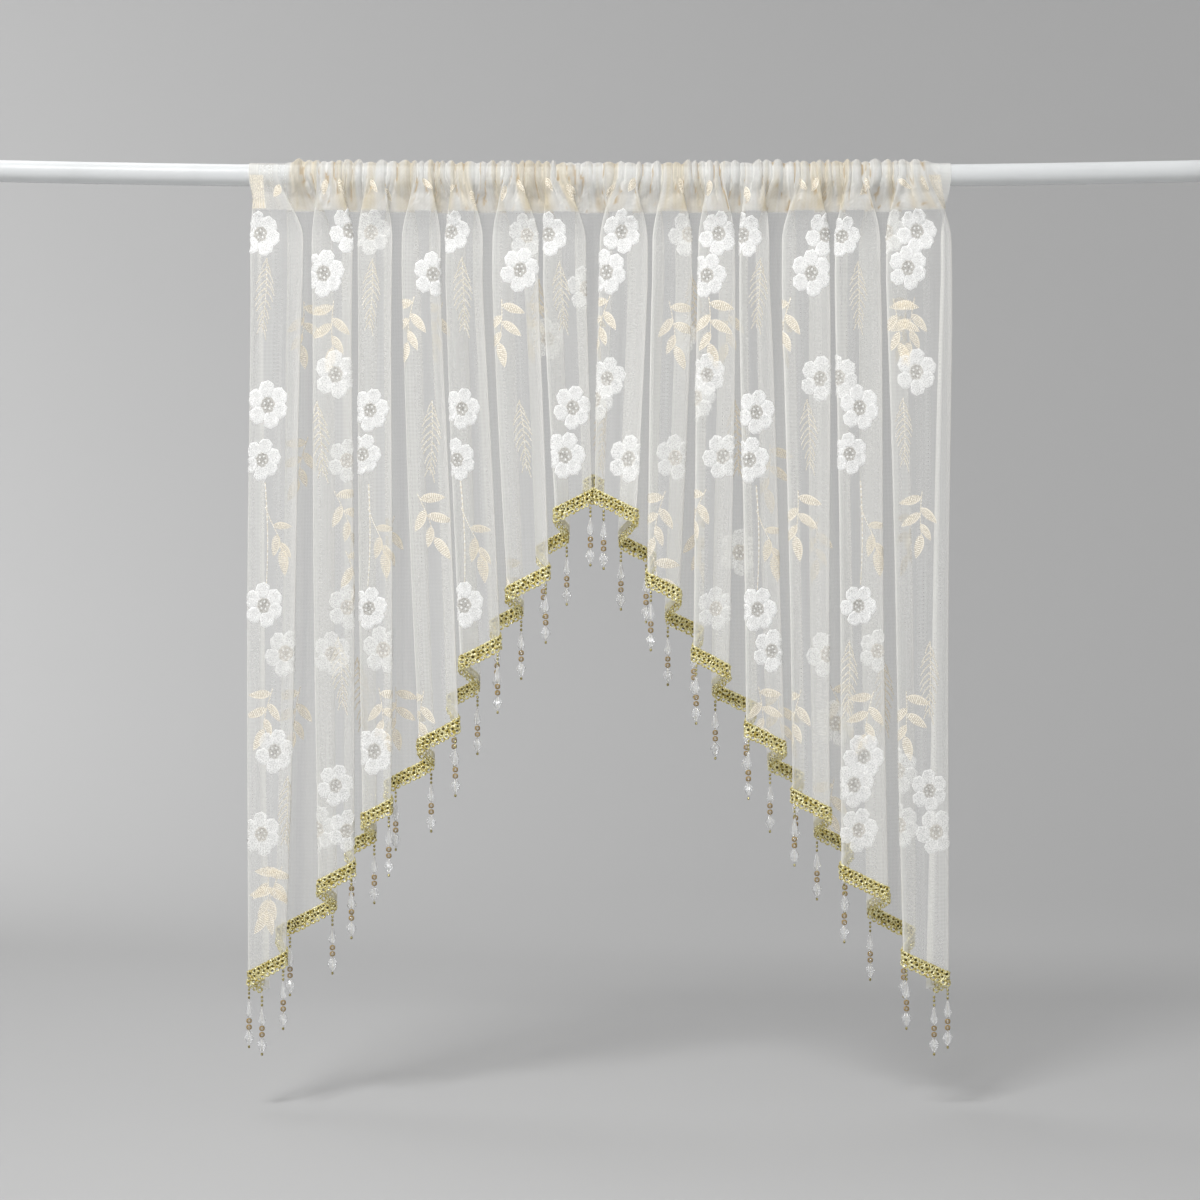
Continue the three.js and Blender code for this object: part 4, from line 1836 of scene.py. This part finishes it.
@dataclass
class BeadDrops:
    """Strings of glass beads under the braid of one slope."""

    cloth: HungCloth
    side: Side
    root: float = 19.5
    left_places: tuple[float, ...] = (1.8, 3.55, 4.75)
    right_places: tuple[float, ...] = (0.2, -1.55, -2.75)
    apex_places: tuple[float, float] = (1.85, 0.5)
    side_places: tuple[float, ...] = (0.3, 1.15)
    teardrop: tuple[tuple[float, float], ...] = (
        (14.5, 0.5), (15.7, 1.5), (20.5, 2.4), (25.5, 3.8),
        (29.0, 4.4), (32.0, 3.5), (33.8, 1.6), (34.4, 0.5),
    )
    amber: tuple[tuple[float, float], ...] = (
        (35.0, 0.6), (35.5, 2.3), (36.8, 3.2), (39.2, 3.2), (40.5, 2.3), (41.0, 0.6),
    )
    amber_pitch: float = 7.2
    bicone: tuple[tuple[float, float], ...] = (
        (49.0, 0.6), (49.8, 2.0), (54.8, 5.4), (57.8, 5.4), (64.2, 2.0), (65.0, 0.6),
    )
    seed: tuple[tuple[float, float], ...] = ((65.8, 0.3), (66.4, 1.4), (68.4, 1.4), (69.2, 0.3))
    top_seeds: tuple[float, ...] = (1.0, 5.2, 10.0)
    thread_radius: float = 0.28

    def spans(self) -> list[float]:
        """Spans where the strings hang.

        Returns:
            The spans.
        """
        left = self.side is Side.LEFT
        found = [span if left else self.cloth.spans - span for span in self.side_places]
        folds = range(APEX_FOLD) if left else range(APEX_FOLD, len(FOLDS))
        for fold in folds:
            places = self.left_places if left else self.right_places
            if fold in (APEX_FOLD - 1, APEX_FOLD):
                places = (self.apex_places[0 if left else 1],)
            found += [1.0 + fold * SPANS_PER_FOLD + place for place in places]
        return found

    def hung(self, name: str, template: Template, facets: float) -> Piece:
        """Copies of one bead on every string.

        Args:
            name: Name of the piece.
            template: The bead.
            facets: Degrees over which an edge stays sharp.

        Returns:
            The piece.
        """
        spans = np.array(self.spans())
        roots = self.cloth.hang(spans, self.cloth.hem_drop(spans) + self.root)
        copies = []
        for number, root in enumerate(roots):
            turn = math.radians(37.0 * number)
            cos, sin = math.cos(turn), math.sin(turn)
            spin = np.array([[cos, -sin, 0.0], [sin, cos, 0.0], [0.0, 0.0, 1.0]])
            copies.append(Template(template.points @ spin.T + root, template.faces, template.chart))
        return Template.joined(copies).piece(name, facets)

    def build(self) -> list[Piece]:
        """Model and dress the strings.

        Returns:
            Crystals, amber beads, gold seeds and threads.
        """
        name = self.side.value
        finishes = (CLEAR_GLASS, AMBER_GLASS, BEAD_NYLON, GOLD_SEED)
        clear, brown, nylon, gold = (finish.material() for finish in finishes)
        crystals = Template.joined([turned(self.teardrop, 8), turned(self.bicone, 8)])
        amber = turned(self.amber, 10)
        amber = Template.joined([amber, amber.placed(at=(0.0, 0.0, -self.amber_pitch))])
        seed = turned(self.seed, 6)
        seeds = [seed] + [seed.placed(at=(0.0, 0.0, self.seed[0][0] - depth)) for depth in self.top_seeds]
        thread = turned(
            ((-4.0, 0.02), (-4.0, self.thread_radius), (69.0, self.thread_radius), (69.0, 0.02)), 5
        )
        plan = (
            ("crystals", crystals, 10.0, clear, "crystal"),
            ("amber_beads", amber, 60.0, brown, "amber_bead"),
            ("gold_seeds", Template.joined(seeds), 60.0, gold, "gold_braid"),
            ("bead_threads", thread, 60.0, nylon, "gold_braid"),
        )
        made = []
        for label, template, facets, material, slot in plan:
            piece = self.hung(f"{label}_{name}", template, facets)
            made.append(finish_piece(piece, material, [f"braid_{name}"]))
        return made


class Lamp(NamedTuple):
    """A soft square lamp: where it stands, what it points at, its side, its power and its spread."""

    name: str
    place: Place
    aim: Place
    size: float
    power: float
    spread: float = 180.0


CURTAIN_MIDDLE = (0.0, 0.0, -0.5)
LAMPS = (
    Lamp("key_lamp", (-1.3, -2.7, 2.6), CURTAIN_MIDDLE, 1.1, 122.0),
    Lamp("fill_lamp", (2.8, -3.2, 1.7), CURTAIN_MIDDLE, 1.8, 5.0),
    Lamp("top_lamp", (-1.3, 1.1, 2.4), (-1.3, 1.1, -1.1), 1.4, 21.0),
    Lamp("wall_lamp", (-3.6, 1.6, 1.66), (-2.6, 6.4, 2.36), 3.0, 165.0),
    Lamp("low_lamp", (0.0, -2.2, -0.75), (0.0, 0.0, -0.1), 0.5, 2.4, 100.0),
)


@dataclass
class Studio:
    """Grey cove, soft light and the camera."""

    floor: float = -1.06
    radius: float = 7.0
    fillet: float = 4.6
    height: float = 6.0
    camera_distance: float = 3.2
    camera_height: float = -0.4815
    frame_width: float = 1.368
    sensor: float = 36.0
    air: float = 0.51
    sheer_layers: int = 48

    def cove(self) -> Piece:
        """A round floor that curves up into a wall.

        Returns:
            The cove.
        """
        sweep = np.linspace(0.0, math.pi / 2.0, 12)
        out = [0.0, 1.2, *(self.radius - self.fillet + self.fillet * np.sin(sweep)), self.radius]
        up = [0.0, 0.0, *(self.fillet * (1.0 - np.cos(sweep))), self.height]
        turn = np.linspace(0.0, 2.0 * math.pi, 97)
        radius = np.array(out)[:, None]
        height = np.array(up)[:, None] + self.floor
        places = np.broadcast_arrays(radius * np.sin(turn), radius * np.cos(turn), height)
        cove = grid_piece("studio_cove", np.stack(places, axis=-1))
        close_mesh(cove, 0.0005)
        work_on(cove)
        bpy.ops.object.mode_set(mode="EDIT")
        bpy.ops.mesh.select_all(action="SELECT")
        bpy.ops.mesh.normals_make_consistent(inside=True)
        bpy.ops.object.mode_set(mode="OBJECT")
        bpy.ops.object.shade_smooth()
        cove.data.materials.append(StudioGrey().material())
        return cove

    @staticmethod
    def hang_lamp(plan: Lamp) -> None:
        """Put up one lamp, unseen by the camera.

        Args:
            plan: The lamp.
        """
        light = bpy.data.lights.new(plan.name, "AREA")
        light.size = plan.size
        light.energy = plan.power
        light.spread = math.radians(plan.spread)
        lamp = bpy.data.objects.new(plan.name, light)
        bpy.context.scene.collection.objects.link(lamp)
        lamp.location = plan.place
        way = lamp.location - type(lamp.location)(plan.aim)
        lamp.rotation_euler = way.to_track_quat("Z", "Y").to_euler()
        lamp.visible_camera = False

    def build(self) -> None:
        """Set up the studio."""
        self.cove()
        for plan in LAMPS:
            self.hang_lamp(plan)
        world = bpy.data.worlds.new("studio_air")
        world.use_nodes = True
        air = world.node_tree.nodes["Background"]
        air.inputs["Color"].default_value = (1.0, 1.0, 1.0, 1.0)
        air.inputs["Strength"].default_value = self.air
        scene = bpy.context.scene
        scene.world = world
        scene.view_settings.view_transform = "Standard"
        scene.cycles.transparent_max_bounces = self.sheer_layers
        camera = bpy.data.cameras.new("photo_camera")
        camera.sensor_width = self.sensor
        camera.lens = self.sensor * self.camera_distance / self.frame_width
        stand = bpy.data.objects.new("photo_camera", camera)
        scene.collection.objects.link(stand)
        stand.location = (0.0, -self.camera_distance, self.camera_height)
        stand.rotation_euler = (math.pi / 2.0, 0.0, 0.0)
        scene.camera = stand


def main() -> None:
    """Build the curtain piece by piece and report each."""
    logging.basicConfig(level=logging.INFO, format="%(name)s: %(message)s")
    Studio().build()
    cloth = HungCloth()
    rod = Rod().build(cloth)
    voile, heading = VoilePanel(cloth).build()
    trims = [heading, *Embroidery(cloth).build()]
    for side in Side:
        trims += BraidTrim(cloth, side).build()
        trims += BeadDrops(cloth, side).build()
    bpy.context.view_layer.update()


if __name__ == "__main__":
    main()
